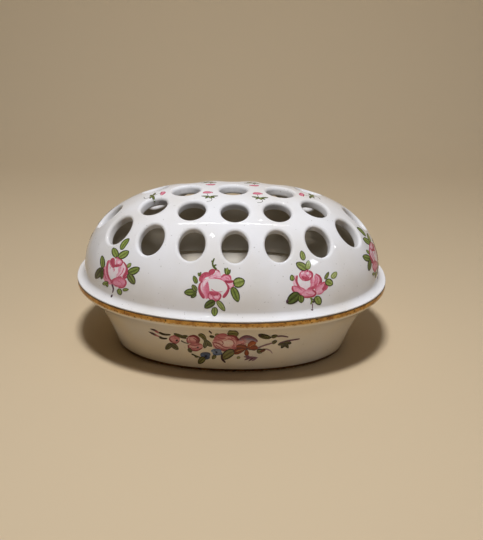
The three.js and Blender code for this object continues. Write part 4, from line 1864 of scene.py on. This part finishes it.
@dataclass
class EnamelPainter:
    """Lays motifs on a shell as thin fired enamel."""

    shell: Shell
    body: str  # that the shell rides on
    camera: PictureCamera
    cover: PiercedCover | None = None  # whose hole lips the enamel follows
    lift: float = 0.015  # of the first stroke above the glaze
    layer: float = 0.004  # that each later stroke adds
    sunk: float = 0.12  # how deep a stroke's underside lies in the glaze
    spread: float = 22.0  # the farthest that the flat drawing stands off the shell
    picture_step: float = 0.9
    flat_step: float = 0.35

    def __post_init__(self) -> None:
        """Find the holes and mix the pigments."""
        self.holes = self.cover.holes() if self.cover else []
        self.materials = {
            pigment: bpy.data.materials.get(pigment.value)
            or EnamelColour(pigment.value, WASHES[pigment]).material()
            for pigment in Pigment
        }

    def spot(self, motif: Motif) -> Spot:
        """Give the spot of a motif that is drawn in the picture."""
        centre = self.camera.seen_on(self.shell, np.array([motif.centre], float))[0]
        return Spot.on(self.shell, centre)

    def paint(self, name: str, motif: Motif, spot: Spot) -> None:
        """Paint a motif as two pieces, its blooms and its leaves.

        Args:
            name: The name of the painted pieces, before what they are.
            motif: What is painted.
            spot: Where it is painted.
        """
        drawn_at = self.spot(motif) if motif.centre else None
        for part, slot, chosen in (
            ("blooms", "flower_enamel", [p for p in Pigment if p not in GREENS]),
            ("leaves", "leaf_enamel", list(GREENS)),
        ):
            clay = Clay()
            for order, touch in enumerate(motif.strokes):
                if touch.pigment in chosen:
                    self.touch(clay, touch, order, spot, drawn_at, chosen.index(touch.pigment))
            if clay.count:
                colours = [self.materials[p] for p in chosen]
                fit(clay.fired(f"{name}_{part}", "strength", colours), self.body)

    def paint_both(self, sides: tuple[str, str], name: str, motif: Motif, spot: Spot) -> None:
        """Paint a motif on one side and again on the opposite one.

        Args:
            sides: The names of the two sides.
            name: What the motif is called there.
            motif: What is painted.
            spot: Where it is painted on the first side.
        """
        for side, place in zip(sides, (spot, spot.opposite())):
            self.paint(f"{side}_{name}", motif, place)

    def touch(
        self, clay: Clay, touch: Stroke, order: int, spot: Spot, drawn_at: Spot | None, group: int
    ) -> None:
        """Lay one stroke on the shell as a thin closed piece.

        Args:
            clay: The piece so far.
            touch: The stroke.
            order: Its place in the painting order, later strokes lying higher.
            spot: Where the motif is painted.
            drawn_at: Where the picture shows it, or None if it is drawn flat.
            group: The material group of its pigment.
        """
        places, tones = touch.grid(self.picture_step if drawn_at else self.flat_step)
        rows, columns = tones.shape
        flat = places.reshape(-1, 2)
        if drawn_at:
            flat = drawn_at.flatten(self.camera.seen_on(self.shell, flat))
        else:
            flat = flat * (1, -1)
        laid = spot.lay(self.shell, flat, self.spread)
        facing = self.shell.normals(laid)
        for hole in self.holes:
            laid = hole.rolled(laid, self.cover.hole_lip)
        height = self.lift + self.layer * order
        top = clay.add(laid + height * facing, tones.ravel(), facing).reshape(rows, columns)
        kept = np.unique(np.linspace(0, columns - 1, UNDER_COLUMNS).round().astype(int))
        under = (laid - self.sunk * facing).reshape(rows, columns, 3)[:, kept].reshape(-1, 3)
        bottom = clay.add(under, tones[:, kept].ravel()).reshape(rows, len(kept))
        for sheet in (top, bottom):
            for row in range(rows - 1):
                for column in range(sheet.shape[1] - 1):
                    corners = sheet[row : row + 2, column : column + 2]
                    clay.face((*corners[0], *corners[1][::-1]), group)
        for row in range(rows - 1):
            for edge in (0, -1):
                above, below = top[row : row + 2, edge], bottom[row : row + 2, edge]
                clay.face((*above, *below[::-1]), group)
        for row in (0, rows - 1):
            clay.face((*top[row], *bottom[row][::-1]), group)


# The studio


@dataclass(frozen=True)
class MatteSweep(Finish):
    """Plain matte paper under and behind the piece: a pale, warm, even tone."""

    colour: str = "#d2be9f"
    fibre_size: float = 6.0

    def shader(self, tree: bpy.types.NodeTree) -> bpy.types.Node:
        """Build the paper: an even tone with the faintest fibre."""
        place = add_node(tree, "ShaderNodeTexCoord").outputs["Object"]
        fibre = add_node(
            tree,
            "ShaderNodeTexNoise",
            {"Scale": per_metre(self.fibre_size), "Detail": 3.0},
            {"Vector": place},
        )
        bump = add_node(
            tree,
            "ShaderNodeBump",
            {"Strength": 0.05, "Distance": 0.1 * MM},
            {"Height": fibre.outputs["Fac"]},
        )
        return add_node(
            tree,
            "ShaderNodeBsdfPrincipled",
            {"Base Color": linear(self.colour), "Roughness": 0.9, "Specular IOR Level": 0.2},
            {"Normal": bump.outputs["Normal"]},
        )


@dataclass(frozen=True)
class Lamp:
    """A rectangular lamp, aimed at the jardiniere."""

    name: str
    place: tuple[float, float, float]
    size: tuple[float, float]
    power: float
    colour: str = "#ffffff"
    aim: tuple[float, float, float] = (0.0, 0.0, 60.0)
    mirrored: bool = True  # whether the glaze shows its reflection

    def build(self) -> None:
        """Make the lamp."""
        data = bpy.data.lights.new(self.name, "AREA")
        data.shape = "RECTANGLE"
        data.size, data.size_y = (s * MM for s in self.size)
        data.energy = self.power
        data.color = linear(self.colour)[:3]
        made = placed(self.name, data)
        made.visible_glossy = self.mirrored
        back = (Vector(self.place) - Vector(self.aim)).normalized()
        across = Vector((0, 1, 0)).cross(back).normalized()
        stand(made, Vector(self.place) * MM, [across, back.cross(across), back])


@dataclass(frozen=True)
class Studio:
    """The sweep, the lamps and the light of the room."""

    width: float = 2600.0
    front: float = -1500.0
    back: float = 620.0
    bend: float = 260.0
    height: float = 1100.0
    room_light: float = 0.015
    room_colour: str = "#f1f2f6"
    wall_colour: str = "#ab9b80"  # what is seen beyond the sweep: the sweep's own lit tone
    lamps: tuple[Lamp, ...] = (
        Lamp("overhead_lamp", (-15, -275, 830), (110, 100), 6.0, "#fbfcff", mirrored=False),
        Lamp("back_lamp", (0, 900, 850), (700, 200), 2.0),
        Lamp("ceiling_strip", (-5, 75, 1000), (680, 12), 0.5),
        Lamp("ceiling_spot", (-114, -220, 968), (15, 70), 0.14),
        Lamp("small_ceiling_spot", (131, 174, 966), (10, 40), 0.04),
        Lamp("side_spot", (756, -105, 652), (40, 70), 0.12),
        Lamp("window", (560, -457, 537), (90, 80), 0.24, "#f2f5ff"),
    )

    def build_sweep(self) -> None:
        """Make the floor that bends up behind the piece."""
        flat_end = self.back - self.bend
        profile = [(self.front, 0.0), (flat_end, 0.0)]
        for turn in turns(0, 90, 12)[1:]:
            rise = self.bend * (1 - math.cos(turn))
            profile.append((flat_end + self.bend * math.sin(turn), rise))
        profile.append((self.back, self.height))
        half = self.width / 2
        points = [(x * MM, y * MM, z * MM) for y, z in profile for x in (-half, half)]
        faces = [(2 * i, 2 * i + 1, 2 * i + 3, 2 * i + 2) for i in range(len(profile) - 1)]
        mesh = bpy.data.meshes.new("sweep")
        mesh.from_pydata(points, [], faces)
        mesh.shade_smooth()
        mesh.materials.append(MatteSweep("matte_paper").material())
        placed("sweep", mesh)

    def build_room(self) -> None:
        """Make the room's light, and the plain tone that is seen beyond the sweep."""
        world = bpy.data.worlds.new("room")
        world.use_nodes = True
        tree = world.node_tree
        tree.nodes.clear()
        room = add_node(
            tree,
            "ShaderNodeBackground",
            {"Color": linear(self.room_colour), "Strength": self.room_light},
        )
        wall = add_node(
            tree, "ShaderNodeBackground", {"Color": linear(self.wall_colour), "Strength": 1.0}
        )
        seen = add_node(tree, "ShaderNodeLightPath").outputs
        shown = seen["Is Camera Ray"]
        for ray in ("Is Glossy Ray", "Is Transmission Ray"):
            shown = add_node(
                tree, "ShaderNodeMath", {"operation": "MAXIMUM"}, {0: shown, 1: seen[ray]}
            ).outputs[0]
        mixed = add_node(
            tree, "ShaderNodeMixShader", links={0: shown, 1: room.outputs[0], 2: wall.outputs[0]}
        )
        add_node(tree, "ShaderNodeOutputWorld", links={"Surface": mixed.outputs[0]})
        bpy.context.scene.world = world

    def build(self) -> None:
        """Make the sweep, the lamps and the room's light, and set the view."""
        self.build_sweep()
        for lamp in self.lamps:
            lamp.build()
        self.build_room()
        bpy.context.scene.view_settings.view_transform = "Standard"


@dataclass(frozen=True)
class Jardiniere:
    """The whole piece: bowl, cover, gilding and painting."""

    camera: PictureCamera
    bowl: Bowl = field(default_factory=Bowl)
    cover: PiercedCover = field(default_factory=PiercedCover)
    rim_band: GoldBand = GoldBand("rim_gilding_fired", 44.75, 48.2)
    foot_band: GoldBand = GoldBand("foot_gilding_fired", 0.4, 2.8, waver=0.2)

    def build_porcelain(self) -> None:
        """Make the bowl and the cover in place of their solids."""
        # the bowl's white is painted shade, warmer and darker than the cover's same porcelain; its
        # lighter inside colour is painted light
        glaze = GlazedPorcelain("bowl_porcelain_painted_light_and_shade", white="#e4d9c6", inside="#f7eedc")
        bowl = self.bowl.build(glaze.material())
        fit(bowl, "bowl_body", "bowl")
        # the cover's greyer inside colour is painted shade
        cover = self.cover.build(GlazedPorcelain("cover_porcelain_painted_shade_inside").material())
        fit(cover, "cover_body", "pierced_cover")

    def build_gilding(self) -> None:
        """Fire the gold bands on the bowl."""
        rim_gold = WornGildingAndGapShadow("worn_rim_gilding_and_gap_shadow").material()
        # the foot's gold is darker than the rim's: painted shade low on the bowl; its pits are wear
        worn = WornGildingAndGapShadow("worn_foot_gilding_painted_shade", gold="#8c6129", deep="#5a3c1a", pitting=0.58)
        rim = self.rim_band.build(self.bowl.outside, rim_gold)
        fit(rim, "bowl_body", "rim_gilding")
        foot = self.foot_band.build(self.bowl.outside, worn.material())
        fit(foot, "bowl_body", "foot_gilding")

    def paint_cover(self) -> None:
        """Paint eight roses round the cover and six buds on its top."""
        dome = self.cover.dome
        painter = EnamelPainter(dome, "cover_body", self.camera, self.cover)
        for motif in (SIDE_ROSE, OPEN_ROSE, CUPPED_ROSE):
            painter.paint_both(SIDES, motif.name, motif, painter.spot(motif))
        end = self.camera.seen_on(dome, np.array([END_ROSE_AT]))[0]
        painter.paint_both(ENDS, "end_rose", SIDE_ROSE, Spot.on(dome, end).mirrored())
        for number, (x, y) in enumerate(TOP_BUDS, 1):
            inward = (-x, 0, 0) if abs(x) > self.cover.middle_pitch else (0, -y, 0)
            painter.paint(f"top_bud_{number}", TOP_BUD, Spot.on(dome, dome.over(x, y), inward))

    def paint_bowl(self) -> None:
        """Paint a spray on each long side of the bowl and a sprig near each end."""
        wall = self.bowl.outside
        painter = EnamelPainter(wall, "bowl_body", self.camera)
        painter.paint_both(SIDES, SPRAY.name, SPRAY, painter.spot(SPRAY))
        end = wall.onto(np.array([NEAR_SPRIG]), np.array([1.0, 0.0, 0.0]))[0]
        painter.paint_both(ENDS, END_SPRIG.name, END_SPRIG, Spot.on(wall, end))


def main() -> None:
    """Build the scene in order and report each piece."""
    logging.basicConfig(level=logging.INFO, format="%(message)s")
    camera = PictureCamera()
    camera.build()
    jardiniere = Jardiniere(camera)
    jardiniere.build_porcelain()
    jardiniere.build_gilding()
    jardiniere.paint_cover()
    jardiniere.paint_bowl()
    Studio().build()


if __name__ == "__main__":
    main()
